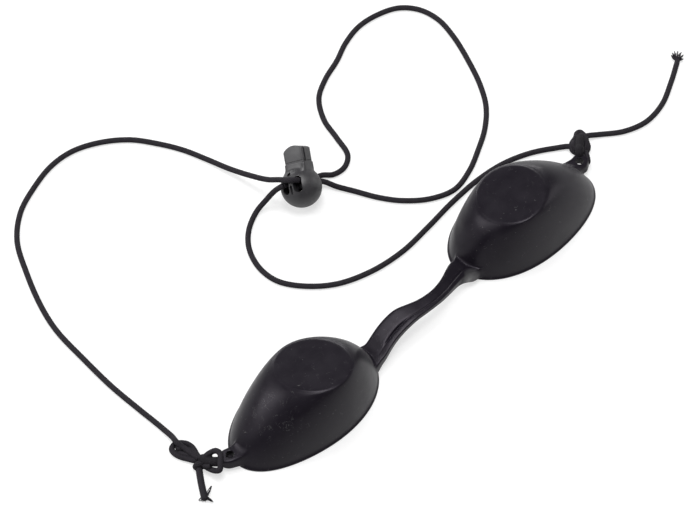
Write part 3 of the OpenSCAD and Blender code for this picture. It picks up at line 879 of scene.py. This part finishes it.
def strap_place(share):
    """A row's place in millimetres: 1 is the crown's end and 2 the strap's."""
    if abs(share) <= 1:
        return share * CROWN_HALF
    return math.copysign(CROWN_HALF + (abs(share) - 1) * (STRAP_HALF - CROWN_HALF), share)


strap_places = [strap_place(row[0]) for row in strap_rows]
print("strap's rows from", round(strap_places[0], 1), "to", round(strap_places[-1], 1), "mm")

# %% Read the strap between its rows


def strap_row(x):
    """Y of the middle, height of the top, width and thickness of the strap at x."""
    ends = len(strap_places) - 1
    i = max(j for j in range(ends) if strap_places[j] <= x + 1e-9)
    t = (x - strap_places[i]) / (strap_places[i + 1] - strap_places[i])
    near = [min(max(i + d, 0), ends) for d in (-1, 0, 1, 2)]
    q = [strap_places[j] for j in near]
    found = []
    for column in (1, 2, 3):
        p = [strap_rows[j][column] for j in near]
        m1 = (p[2] - p[0]) / (q[2] - q[0]) * (q[2] - q[1])
        m2 = (p[3] - p[1]) / (q[3] - q[1]) * (q[2] - q[1])
        found.append((2 * t**3 - 3 * t**2 + 1) * p[1] + (t**3 - 2 * t**2 + t) * m1
                     + (3 * t**2 - 2 * t**3) * p[2] + (t**3 - t**2) * m2)
    y, down, wide = found
    return y, TOP_CROWN - TOP_FALL * down, WIDTH_LEAST + WIDTH_MORE * wide, THICK_LEAST + THICK_MORE * down


print("strap at the crown: y, top, width, thickness", [round(v, 2) for v in strap_row(0)])

# %% [markdown]
# ## The strap's cross-section
#
# On its upper face a narrow groove sets off a bead along the side that faces the cheek. It is deep near
# the left cup and only a faint line elsewhere. Towards the right cup the cheek side runs out into a
# gusset on the rim. Both are moved points of the same loop, so they blend into the strap by themselves.

# %% Section of the strap, from the cheek side to the brow side: bead, groove and flat web
strap_across = [-0.5, -0.44, -0.35, -0.28, -0.25, -0.21, -0.18, -0.04, 0.2, 0.38, 0.5]
strap_sink = [0.10, 0.0, 0.0, 0.02, 0.55, 0.55, 0.02, 0.0, 0.0, 0.0, 0.08]
GROOVE_AT, GROOVE_HALF = -9.8, 4.0
GROOVE_FAINT = {"left": 0.04, "right": 0.22}
GUSSET_FROM, GUSSET_LONG, GUSSET_OUT, GUSSET_SHARE = 12.5, 4.5, 1.9, 0.3
STRAP_COLUMNS, LOW_CORNER = 10, 0.12


def groove_depth(x):
    """The groove's depth at x, as a share of its full depth."""
    least = GROOVE_FAINT["right" if x > GROOVE_AT else "left"]
    return least + (1 - least) * max(0, 1 - abs((x - GROOVE_AT) / GROOVE_HALF) ** 3)


def strap_section(x, shares, world_to_cup):
    """The strap's cross-section at x as points that match the loop of a patch."""
    y0, z0, wide, thick = strap_row(x)
    section = []
    for a, up in shares:
        i = round(a * STRAP_COLUMNS)
        even = a - 0.5
        y = y0 + wide * (strap_across[i] * up + even * (1 - up))
        z = z0 - thick / 2 + thick * up
        if a < GUSSET_SHARE and x > GUSSET_FROM:
            reach = min(1, (x - GUSSET_FROM) / GUSSET_LONG) ** 1.5
            y -= GUSSET_OUT * reach * (1 - up) * (1 - a / GUSSET_SHARE)
        if up == 1:
            z -= strap_sink[i] * (groove_depth(x) if i in range(1, 7) else 1)
        elif up == 0 and i in (0, STRAP_COLUMNS):
            z += LOW_CORNER
        section.append(world_to_cup @ Vector((x, y, z)))
    return section


# %% [markdown]
# ## The lug
#
# A soft tab stands out of each cup's outer end and carries the cord hole. It is extruded out of the
# cup's side like the strap and narrows to a round end, and the hole is cut through it at last. The cord
# pulls the soft tabs askew, so the two lugs stand at different places.

# %% Cross-sections of a lug
LUG_TURN = math.radians(26)
LUG_HOLE_RADIUS, LUG_HOLE_HEIGHT = 1.1, 2.7
LUG_FOOT, LUG_NARROWS = 1.03, 0.18
lug_hole_at = {"left": (-RIM_LONG - 0.6, 1.8), "right": (-RIM_LONG + 0.2, 4.9)}
# Each ring of a lug: how far ahead of the hole, half width, lowest and highest point
lug_stations = {
    "left": [(-0.2, 2.5, 0.95, 3.8), (0.7, 2.4, 0.8, 3.8), (1.6, 2.15, 1.0, 3.8), (2.3, 1.7, 1.2, 3.76),
             (2.8, 1.05, 1.5, 3.55)],
    "right": [(-0.4, 2.65, 0.95, 3.8), (0.3, 2.5, 1.0, 3.8), (1.0, 2.38, 1.2, 3.8), (1.7, 2.12, 1.3, 3.8),
              (2.35, 1.65, 1.4, 3.76), (2.8, 1.05, 1.6, 3.55)],
}


def lug_section(side, station, shares):
    """One ring of the lug, a little narrower at its top."""
    ahead, half, low, high = station
    way = Vector((-math.cos(LUG_TURN), math.sin(LUG_TURN)))
    across_way = Vector((way.y, -way.x))
    section = []
    for across, up in shares:
        p = Vector(lug_hole_at[side]) + way * ahead
        p += across_way * (2 * half * (LUG_FOOT - LUG_NARROWS * up) * (0.5 - across))
        section.append(Vector((p.x, p.y, low + (high - low) * up)))
    return section


# %% [markdown]
# ## From the cup's frame to the model's
#
# Both cups are drawn in the same frame. The right one is its mirror image and lies turned by 9.6
# degrees, as the strap's twist leaves it. The strap's rows are the model's own, so its sections are
# carried back into the cup's frame, and the finished half is brought to its place in one move.

# %% Place of a cup
RIGHT_CUP_TURN = math.radians(9.6)


def cup_places(side):
    """From the cup's own frame to the model's, in millimetres and in metres."""
    shift, turn = Vector((-CUP_SPACING / 2, 0, 0)), Matrix.Identity(4)
    if side == "right":
        shift = -shift
        turn = Matrix.Rotation(-RIGHT_CUP_TURN, 4, "Z") @ Matrix.Scale(-1, 4, (1, 0, 0))
    return Matrix.Translation(shift) @ turn, Matrix.Translation(shift * MM) @ turn


# %% Draw the strap and the lug out of a cup
STRAP_MEETS = 0.38
strap_columns = {"left": (-8, 2), "right": (-10, 0)}
lug_columns = {"left": (44, 50), "right": (39, 45)}
strap_stations = [17.0, 16.0, 14.8, 13.5, 12.0, 10.7, 9.4, 8.2, 6.9, 5.5, 4.2, 2.8, 1.4, 0.0]


def draw_strap(half, side, world_to_cup):
    """Half of the strap, up to the middle, where it stays open."""

    def sections(loop, shares):
        sign = -1 if side == "left" else 1
        rings = metres([strap_section(sign * x, shares, world_to_cup) for x in strap_stations])
        return [[p.lerp(q, STRAP_MEETS) for p, q in zip(loop, rings[0])]] + rings

    grow(half.data, strap_columns[side], sections)


def draw_lug(half, side):
    """The lug, closed at its end."""
    grow(half.data, lug_columns[side],
         lambda loop, shares: metres([lug_section(side, station, shares) for station in lug_stations[side]]))
    bpy.ops.mesh.edge_face_add()


# %% Round a half off and close it


def round_off(half, cup_to_model):
    """Subdivides the cage, moves it to its place and closes the strap's open end in the middle."""
    bpy.ops.mesh.select_all(action="SELECT")
    bpy.ops.mesh.normals_make_consistent(inside=False)
    bpy.ops.object.mode_set(mode="OBJECT")
    rounding = half.modifiers.new("round", "SUBSURF")
    rounding.levels = rounding.render_levels = 2
    bpy.ops.object.modifier_apply(modifier="round")
    half.data.transform(cup_to_model)
    bpy.ops.object.mode_set(mode="EDIT")
    select_where(half.data, "edges", lambda edge: edge.is_boundary)
    bpy.ops.mesh.edge_face_add()
    bpy.ops.mesh.select_all(action="SELECT")
    bpy.ops.mesh.normals_make_consistent(inside=False)
    bpy.ops.object.mode_set(mode="OBJECT")


halves = {}
for side in ("left", "right"):
    cup_to_world, cup_to_model = cup_places(side)
    halves[side] = draw_cup(side)
    draw_strap(halves[side], side, cup_to_world.inverted())
    draw_lug(halves[side], side)
    round_off(halves[side], cup_to_model)
    print(halves[side].name, "faces", len(halves[side].data.polygons))


# %% [markdown]
# ## Cutting a hole
#
# Holes, slots and pockets are cut with a boolean: a tool of the hole's shape is placed, the modifier is
# applied and the tool is deleted. The exact solver is slower than the fast one, but it leaves clean
# closed edges. A long hole is a cylinder whose two halves are drawn apart.

# %% Tools of a hole's shape


def long_prism(radius, depth, corners, shift=0):
    """A round prism along z, drawn apart along x by the shift to both sides."""
    bpy.ops.mesh.primitive_cylinder_add(vertices=corners, radius=radius * MM, depth=depth * MM,
                                        rotation=(0, 0, math.pi / corners))
    tool = bpy.context.object
    bpy.ops.object.transform_apply(location=False, rotation=True, scale=False)
    for sign in (1, -1):
        bpy.ops.object.mode_set(mode="EDIT")
        bpy.ops.mesh.select_mode(type="VERT")
        select_where(tool.data, "verts", lambda vert: vert.co.x * sign > 0)
        bpy.ops.transform.translate(value=(sign * shift * MM, 0, 0))
        bpy.ops.object.mode_set(mode="OBJECT")
    return tool


def box(size, at=(0, 0, 0)):
    bpy.ops.mesh.primitive_cube_add(size=1, location=[v * MM for v in at])
    tool = bpy.context.object
    tool.scale = [v * MM for v in size]
    bpy.ops.object.transform_apply(location=True, rotation=False, scale=True)
    return tool


def round_box(size, radius):
    """A box with its four upright edges rounded."""
    tool = box(size)
    bpy.ops.object.mode_set(mode="EDIT")
    bpy.ops.mesh.select_mode(type="EDGE")

    def upright(edge):
        way = edge.verts[0].co - edge.verts[1].co
        return abs(way.z) > abs(way.x) + abs(way.y)

    select_where(tool.data, "edges", upright)
    bpy.ops.mesh.bevel(offset=radius * MM, segments=6)
    bpy.ops.object.mode_set(mode="OBJECT")
    return tool


# %% Place a tool and cut with it
SHARP_ANGLE = math.radians(40)
HOLE_DEPTH = 6


def place(tool, at, turn=None):
    """Moves a tool's mesh, not its object, to a place in millimetres."""
    matrix = Matrix.Translation(Vector(at) * MM)
    tool.data.transform(matrix @ turn if turn else matrix)
    return tool


def combine(piece, tool, operation="DIFFERENCE"):
    """Cuts, joins or intersects the piece with a tool, which is used up."""
    modifier = piece.modifiers.new("cut", "BOOLEAN")
    modifier.operation = operation
    modifier.solver = "EXACT"
    modifier.object = tool
    bpy.context.view_layer.objects.active = piece
    bpy.ops.object.modifier_apply(modifier="cut")
    bpy.data.objects.remove(tool, do_unlink=True)


def smooth(piece):
    """Shades the piece smooth, apart from its sharp edges."""
    bpy.ops.object.select_all(action="DESELECT")
    piece.select_set(True)
    bpy.context.view_layer.objects.active = piece
    bpy.ops.object.shade_smooth_by_angle(angle=SHARP_ANGLE)
    bpy.ops.object.select_all(action="DESELECT")


for side, half in halves.items():
    hole = cup_places(side)[0] @ Vector((*lug_hole_at[side], LUG_HOLE_HEIGHT))
    combine(half, place(long_prism(LUG_HOLE_RADIUS, HOLE_DEPTH, 36), hole))
    smooth(half)
    print("cord hole of the", side, "lug at", [round(v, 2) for v in hole])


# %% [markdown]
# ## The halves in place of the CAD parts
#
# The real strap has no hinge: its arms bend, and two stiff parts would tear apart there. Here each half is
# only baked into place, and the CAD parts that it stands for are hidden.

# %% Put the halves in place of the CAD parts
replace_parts(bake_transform(halves["left"]),
            "eyecup_left", "bridge_arm_left", "bridge_crown")
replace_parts(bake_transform(halves["right"]),
            "eyecup_right", "bridge_arm_right")

# %% [markdown]
# ## The ball lock
#
# The lock is a ball of 10.8 mm in hard plastic, with a collar, a bore for the plunger and two slots for
# the cord. A block stuck onto the ball would meet it in a hard crease, where a moulded lock has a soft
# shoulder. So the collar is drawn out of the ball's own rings round its upper pole. All parts are made in
# the lock's own frame and moved to their place at the end.

# %% The ball and its collar
BALL_RADIUS = 5.4
BORE_SHIFT = 0.45
COLLAR_FOOT, RING_ANGLE = 48.75, 3.75
collar_half = (2.68, 3.18)
# Each ring from the foot up: share of the collar's outline, inset from it and height
collar_rings = [
    (0.28, 0, 3.86), (0.55, 0, 4.14), (0.77, 0, 4.45), (0.92, 0, 4.85), (1, 0, 5.3), (1, 0, 5.8),
    (1, 0.04, 6.08), (1, 0.16, 6.2), (1, 0.6, 6.2), (1, 1.2, 6.2), (1, 1.8, 6.2), (1, 2.3, 6.2),
    (1, 2.64, 6.2),
]


def raise_collar(mesh):
    """Draws the rings round the ball's upper pole into a collar with rounded corners."""
    foot = BALL_RADIUS * math.sin(math.radians(COLLAR_FOOT))
    for vert in mesh.vertices:
        x, y, z = vert.co / MM
        step = round((COLLAR_FOOT - math.degrees(math.acos(z / BALL_RADIUS))) / RING_ANGLE)
        if step < 1 or step > len(collar_rings):
            continue
        share, inset, height = collar_rings[step - 1]
        turn = math.atan2(y, x)
        half_x, half_y = collar_half[0] - inset, collar_half[1] - inset
        reach = (abs(math.cos(turn) / half_x) ** 6 + abs(math.sin(turn) / half_y) ** 6) ** (-1 / 6)
        reach = reach * share + foot * (1 - share)
        vert.co = Vector((reach * math.cos(turn), reach * math.sin(turn) + BORE_SHIFT * share, height)) * MM


bpy.ops.mesh.primitive_uv_sphere_add(segments=96, ring_count=48, radius=BALL_RADIUS * MM)
barrel = bpy.context.object
barrel.name = barrel.data.name = "lock_ball"
raise_collar(barrel.data)
print("the collar rises over the ball by", round(collar_rings[-1][2] - BALL_RADIUS, 2), "mm")

# %% Cut the bore, the spring's pocket and the slots
BORE_FLOOR, BORE_DEPTH = -3.0, 10.8
POCKET_FLOOR, POCKET_DEPTH, POCKET_RADIUS = -4.27, 5.4, 2.0
# Each slot's radius, how far its halves are drawn apart, how far ahead it stands and how high
FRONT_SLOT, BACK_SLOT = (1.1, 1.05, 3, 0.35), (0.9, 0.3, -3, 1.3)
SLOT_DEPTH = 6
lock_place = Matrix.Translation(LOCK_AT * MM) @ lock_turn.to_4x4()
lie_down = Matrix.Rotation(math.radians(90), 4, "Y")


def soften(piece, width, segments=2, angle=32):
    """Rounds all sharp edges a little and shades the rest smooth."""
    bevel = piece.modifiers.new("edges", "BEVEL")
    bevel.width = width * MM
    bevel.segments = segments
    bevel.limit_method = "ANGLE"
    bevel.angle_limit = math.radians(angle)
    bpy.context.view_layer.objects.active = piece
    bpy.ops.object.modifier_apply(modifier="edges")
    smooth(piece)


bore = round_box((5.08, 6.08, BORE_DEPTH), 0.65)
combine(barrel, place(bore, (0, BORE_SHIFT, BORE_FLOOR + BORE_DEPTH / 2)))
pocket = long_prism(POCKET_RADIUS, POCKET_DEPTH, 48)
combine(barrel, place(pocket, (0, 0, POCKET_FLOOR + POCKET_DEPTH / 2)))
for y in (-SLOT_SIDE, SLOT_SIDE):
    for radius, apart, x, z in (FRONT_SLOT, BACK_SLOT):
        combine(barrel, place(long_prism(radius, SLOT_DEPTH, 48, apart), (x, y, z), lie_down))
# A shallow upright slit between the slots, and a small round hole above them
slit_at = (BALL_RADIUS, 0, -0.9)
combine(barrel, place(long_prism(0.35, 1.6, 24, 0.95), slit_at, lie_down))
hole_at = (BALL_RADIUS * 0.72, -0.75, BALL_RADIUS * 0.62)
combine(barrel, place(long_prism(0.5, 2.7, 32), hole_at, lie_down))
soften(barrel, 0.16)
barrel.data.transform(lock_place)
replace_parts(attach(barrel, "root"), "lock_barrel")
print("ball faces", len(barrel.data.polygons))

# %% [markdown]
# ## The plunger
#
# The button that is pressed stands out of the collar and has an arched top. Inside the ball, a window
# through it lets the cord pass and clamps it when the spring lifts the plunger. The arched top could be
# bevelled, but a block that is intersected with a cylinder gets the exact arch. A narrow step is cut in
# round the button where it leaves the collar, and shows there as a dark line.

# %% Shape the plunger
PLUNGER_LOW, PLUNGER_TOP = -0.6, 10.7
ARCH_RADIUS, ARCH_SHIFT = 4.0, 0.8
STEP_HEIGHT, STEP_WIDE = 6.42, 0.42
plunger_middle = (PLUNGER_TOP + PLUNGER_LOW) / 2
arch_middle = PLUNGER_TOP - ARCH_RADIUS
plunger = place(round_box((4.8, 5.8, PLUNGER_TOP - PLUNGER_LOW), 0.6), (0, BORE_SHIFT, plunger_middle))
plunger.name = plunger.data.name = "lock_push_plunger"
arch = place(long_prism(ARCH_RADIUS, 10, 128), (0, ARCH_SHIFT, arch_middle), lie_down)
combine(arch, box((10, 14, 8), (0, 0, arch_middle - 3.4)), "UNION")
combine(plunger, arch, "INTERSECT")
soften(plunger, 0.3, segments=3, angle=40)
# The cord's window, the upright groove on the outside and the step at the collar
window, window_at = (10, 5.2, 3.85), (0, 0.1, 2.475)
groove, groove_at = (0.8, 0.8, 5.6), (1.35, 3.35, BALL_RADIUS + 2.9)
step_ring = box((8, 9, STEP_WIDE), (0, BORE_SHIFT, STEP_HEIGHT))
combine(step_ring, box((4.44, 5.44, 1), (0, BORE_SHIFT, STEP_HEIGHT)))
for tool in (box(window, window_at), box(groove, groove_at), step_ring):
    combine(plunger, tool)
smooth(plunger)
plunger.data.transform(lock_place)
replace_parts(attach(plunger, "plunger"), "lock_plunger")
print("plunger faces", len(plunger.data.polygons))

# %% [markdown]
# ## The spring
#
# A compression spring pushes the plunger up from the floor of its pocket. It is wire on a helix, made by
# the same tube function as the cord, without relief.

# %% Wind the spring
WIRE_RADIUS, COIL_RADIUS, COIL_TURNS = 0.17, 1.5, 3.5
COIL_STEPS, COIL_GAP = 40, 0.02
coil_low, coil_high = POCKET_FLOOR + WIRE_RADIUS + COIL_GAP, PLUNGER_LOW - WIRE_RADIUS - COIL_GAP
coil = []
for k in range(int(COIL_TURNS * COIL_STEPS) + 1):
    turn = 2 * math.pi * k / COIL_STEPS
    climb = coil_low + (coil_high - coil_low) * k / (COIL_TURNS * COIL_STEPS)
    point = Vector((COIL_RADIUS * math.cos(turn), COIL_RADIUS * math.sin(turn), climb))
    coil.append(lock_place @ (point * MM))
spring = braided_piece("lock_coil", [tube_data(np.array(coil), WIRE_RADIUS * MM, around=10, relief=0)])
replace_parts(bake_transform(spring), "lock_spring")

# %% [markdown]
# ## Surfaces
#
# The moulding and the cord are both black, but the photograph tells them apart: the moulding is a satin
# rubber that shines at shallow angles and carries dust and fine scuffs, the cord is matt, with painted shade
# in the gaps of its braid and a painted lighter grey on the crowns of its strands, and the lock is a harder
# and lighter plastic. Painted pictures would need a flat layout of each piece. Noise in millimetres of the
# object's own space needs none.

# %% Tools for materials


class Nodes:
    """Builds a material's nodes with short calls."""

    def __init__(self, name):
        self.material = bpy.data.materials.new(name)
        self.material.use_nodes = True
        self.tree = self.material.node_tree
        self.shader = self.tree.nodes["Principled BSDF"]

    def add(self, kind, **values):
        node = self.tree.nodes.new(kind)
        for key, value in values.items():
            setattr(node, key, value)
        return node

    def set(self, socket, value):
        """Gives an input a number or a colour, or links another node's socket to it."""
        if isinstance(value, bpy.types.NodeSocket):
            self.tree.links.new(value, socket)
        else:
            socket.default_value = value

    def fill(self, node, **values):
        """Sets inputs by their names, with a low line for a space."""
        for key, value in values.items():
            self.set(node.inputs[key.replace("_", " ")], value)
        return node

    def put(self, **values):
        self.fill(self.shader, **values)

    def where(self):
        """Object coordinates in millimetres."""
        node = self.add("ShaderNodeMapping")
        self.fill(node, Vector=self.add("ShaderNodeTexCoord").outputs["Object"], Scale=(1 / MM,) * 3)
        return node.outputs["Vector"]

    def noise(self, scale, detail=3.0, roughness=0.5, distortion=0.0):
        node = self.add("ShaderNodeTexNoise")
        self.fill(node, Vector=self.where(), Scale=scale, Detail=detail, Roughness=roughness,
                  Distortion=distortion)
        return node.outputs["Fac"]

    def cells(self, scale):
        """Distance to the nearest of many scattered points."""
        node = self.add("ShaderNodeTexVoronoi")
        return self.fill(node, Vector=self.where(), Scale=scale).outputs["Distance"]

    def ramp(self, value, low, high, to_low=0.0, to_high=1.0):
        node = self.add("ShaderNodeMapRange")
        self.fill(node, Value=value, From_Min=low, From_Max=high, To_Min=to_low, To_Max=to_high)
        return node.outputs["Result"]

    def calc(self, operation, a, b=0.0):
        node = self.add("ShaderNodeMath", operation=operation)
        self.set(node.inputs[0], a)
        self.set(node.inputs[1], b)
        return node.outputs[0]

    def times(self, a, b):
        return self.calc("MULTIPLY", a, b)

    def mix(self, share, a, b):
        node = self.add("ShaderNodeMix", data_type="RGBA")
        for index, value in ((0, share), (6, a), (7, b)):
            self.set(node.inputs[index], value)
        return node.outputs[2]

    def lines(self, field, edges, patch, patch_edges):
        """Thin lines where a noise crosses its middle, kept only in patches of another noise."""
        off = self.calc("ABSOLUTE", self.calc("SUBTRACT", field, 0.5))
        return self.times(self.ramp(off, *edges), self.ramp(patch, *patch_edges))

    def near(self, point, inner, outer):
        """1 within the inner distance of a point given in millimetres, 0 beyond the outer one."""
        node = self.add("ShaderNodeVectorMath", operation="DISTANCE")
        self.set(node.inputs[0], self.where())
        self.set(node.inputs[1], point)
        return self.ramp(node.outputs["Value"], outer, inner)

    def bump(self, height, distance, strength):
        node = self.add("ShaderNodeBump")
        return self.fill(node, Height=height, Distance=distance * MM, Strength=strength).outputs["Normal"]


def grey(level, warm=0.0):
    return (level * (1 + warm), level, level * (1 - warm), 1)


# %% [markdown]
# ## Satin moulding
#
# The base is a nearly black purple grey with soft clouds. On it lie pale scuffs, specks and hairs of dust,
# and scratches on the left cup's outer wall. A pale patch on the gusset by the right rim is a painted
# highlight. One flat colour would look like new plastic, where the photograph shows a worn surface.

# %% Satin moulding
# The second point is the middle of a painted highlight on the gusset by the right rim.
SCRATCHED_AT, PAINTED_HIGHLIGHT_AT = (-48.5, -1.5, 10), (16.6, -4.0, 2.8)
rubber = Nodes("black_satin_moulding")
cloud = rubber.noise(0.22, 4)
scuff = rubber.ramp(rubber.noise(0.9, 6, 0.7, 1.6), 0.61, 0.68)
dust = rubber.ramp(rubber.cells(0.42), 0.05, 0.03)
hair = rubber.lines(rubber.noise(0.33, 2, 0.5, 0.8), (0.0035, 0.0015), rubber.noise(0.6, 2), (0.6, 0.63))
scratch = rubber.lines(rubber.noise(0.5, 3, 0.55, 1.2), (0.007, 0.003), rubber.noise(0.45, 2), (0.52, 0.56))
scratch = rubber.times(scratch, rubber.near(SCRATCHED_AT, 3, 8))
# Painted highlight: a pale patch on the gusset by the right rim, fading out over 3 mm.
painted_gusset_highlight = rubber.times(rubber.near(PAINTED_HIGHLIGHT_AT, 0.3, 3.0), rubber.ramp(cloud, 0.35, 0.6, 0.4, 1.0))
tone = rubber.mix(rubber.ramp(cloud, 0.3, 0.7), (0.0062, 0.0048, 0.0082, 1), (0.0092, 0.0076, 0.0115, 1))
tone = rubber.mix(rubber.times(scuff, 0.35), tone, grey(0.035))
tone = rubber.mix(rubber.times(rubber.calc("MAXIMUM", dust, hair), 0.5), tone, grey(0.16))
tone = rubber.mix(rubber.times(scratch, 0.9), tone, grey(0.2))
rough = rubber.calc("ADD", rubber.ramp(cloud, 0.3, 0.7, 0.3, 0.4), rubber.times(scuff, 0.14))
rubber.put(Base_Color=rubber.mix(painted_gusset_highlight, tone, grey(0.26)), Roughness=rough, IOR=1.275, Sheen_Weight=0.11,
           Sheen_Roughness=0.3, Specular_Tint=(0.96, 0.9, 1.0, 1),
           Normal=rubber.bump(rubber.noise(3.2, 2), 0.02, 0.5))
print(rubber.material.name, "nodes:", len(rubber.tree.nodes))

# %% [markdown]
# ## Braided elastic
#
# Painted shade makes the gaps of the braid black, and painted light makes its crowns a dark grey, by the
# height that each point carries. A striped texture would have to be fitted to each bend, and the height
# fits by itself. A fine noise for the single yarns adds lighter specks and a little roughness.

# %% Braided elastic
elastic = Nodes("braided_elastic")
height = elastic.add("ShaderNodeAttribute", attribute_name="braid_height").outputs["Fac"]
yarn = elastic.noise(5.5, 3, 0.6)
# Painted shade in the braid's gaps and painted light on its crowns, by the braid's height.
tone = elastic.mix(elastic.ramp(height, 0.25, 1.0), (0.002, 0.0018, 0.0024, 1), (0.028, 0.0252, 0.0306, 1))
tone = elastic.mix(elastic.times(elastic.ramp(yarn, 0.4, 0.75), 0.45), tone, (0.044, 0.040, 0.048, 1))
elastic.put(Base_Color=tone, Roughness=elastic.ramp(yarn, 0.3, 0.7, 0.62, 0.82), IOR=1.2,
            Normal=elastic.bump(yarn, 0.05, 0.6))
print(elastic.material.name, "nodes:", len(elastic.tree.nodes))

# %% [markdown]
# ## Lock plastic and spring steel
#
# The lock is a dull, dark grey plastic with pale rubbed places, lighter than the moulding beside it. The
# spring is plain drawn steel, which hardly shows.

# %% Lock plastic and spring steel
plastic = Nodes("grey_black_lock_plastic")
cloud = plastic.noise(0.5, 3)
rub = plastic.ramp(plastic.noise(1.3, 5, 0.7, 1.2), 0.6, 0.7)
tone = plastic.mix(plastic.ramp(cloud, 0.3, 0.7), (0.018, 0.017, 0.02, 1), (0.027, 0.0255, 0.029, 1))
plastic.put(Base_Color=plastic.mix(plastic.times(rub, 0.4), tone, grey(0.09)),
            Roughness=plastic.ramp(cloud, 0.3, 0.7, 0.4, 0.5), IOR=1.6,
            Normal=plastic.bump(plastic.noise(4.5, 3), 0.03, 0.6))
steel = Nodes("spring_steel")
steel.put(Base_Color=steel.mix(steel.noise(2.0), grey(0.42, 0.02), grey(0.6, 0.02)), Metallic=1.0,
          Roughness=steel.ramp(steel.noise(6.0), 0.3, 0.7, 0.24, 0.38))
print(plastic.material.name, "and", steel.material.name)

# %% Give each piece its surface
for pieces, surface, slot in (
    (all_cord, elastic, "cord"), (halves.values(), rubber, "moulding"), ((barrel, plunger), plastic, "lock"),
    ((spring,), steel, "spring_wire"),
):
    for piece in pieces:
        piece.data.materials.clear()
        piece.data.materials.append(surface.material)
        print(piece.name, "is", surface.material.name)


# %% [markdown]
# ## Light
#
# The photograph was taken on white, in soft light. One even sky would leave the black cups flat, so
# panels stand where their long soft reflections come from. Two on the left and one on the right light
# the walls, one above draws the thin bright line on the near edge of the flat fronts, and a small one is
# for the strap. Behind there is only a low strip, because the flat fronts mirror the space above it and
# are black in the photograph.

# %% Panels of light
panels = {
    "panel_left": ((-0.6, 0.715, 0.58), (-0.03, 0.02, 0), (0.5, 0.6), 4.8),
    "panel_far_left": ((-0.92, 0.37, 0.46), (0, 0.03, 0), (0.45, 0.4), 1.15),
    "panel_right": ((0.9, -0.3, 0.32), (0, 0.03, 0), (0.7, 0.45), 1.7),
    "panel_above": ((0.03, -0.02, 1.3), (0, 0.03, 0), (0.45, 0.45), 8.0),
    "panel_strap": ((0.12, 0.28, 0.95), (0, 0, 0), (0.24, 0.16), 2.3),
    "panel_back": ((0.5, 0.85, 0.09), (0, 0.03, 0), (1.0, 0.14), 3.4),
}
for name, (at, aim, size, power) in panels.items():
    data = bpy.data.lights.new(name, "AREA")
    data.shape = "RECTANGLE"
    data.size, data.size_y = size
    data.energy = power
    lamp = bpy.data.objects.new(name, data)
    lamp.location = at
    lamp.rotation_euler = (Vector(aim) - Vector(at)).to_track_quat("-Z", "Y").to_euler()
    bpy.context.scene.collection.objects.link(lamp)
    print(name, power, "W")


# %% [markdown]
# ## White floor
#
# Lamps strong enough to make white paper white would wash out the object. So the floor gets some light
# of its own for the camera and for reflections, shows white, and still keeps a faint shadow under the
# object. For all other rays it is plain white paper.

# %% Floor and background
WORLD_STRENGTH = 0.26
bpy.ops.mesh.primitive_plane_add(size=6, location=(0, 0, 0))
floor = bpy.context.object
floor.name = "floor"
paper = Nodes("white_floor")
seen = paper.add("ShaderNodeLightPath").outputs
mirrored = paper.calc("MAXIMUM", seen["Is Glossy Ray"], seen["Is Transmission Ray"])
shown = paper.calc("MAXIMUM", seen["Is Camera Ray"], mirrored)
glow = paper.mix(seen["Is Camera Ray"], grey(0.34), grey(0.62))
paper.put(Roughness=0.85, Base_Color=paper.mix(shown, grey(0.9), grey(0.42)), Emission_Color=(1, 1, 1, 1),
          Emission_Strength=paper.times(shown, glow))
floor.data.materials.append(paper.material)
world = bpy.data.worlds.new("studio")
bpy.context.scene.world = world
world.use_nodes = True
world.node_tree.nodes["Background"].inputs["Color"].default_value = (1, 1, 1, 1)
world.node_tree.nodes["Background"].inputs["Strength"].default_value = WORLD_STRENGTH
bpy.context.scene.view_settings.view_transform = "Standard"
print("world strength", WORLD_STRENGTH)
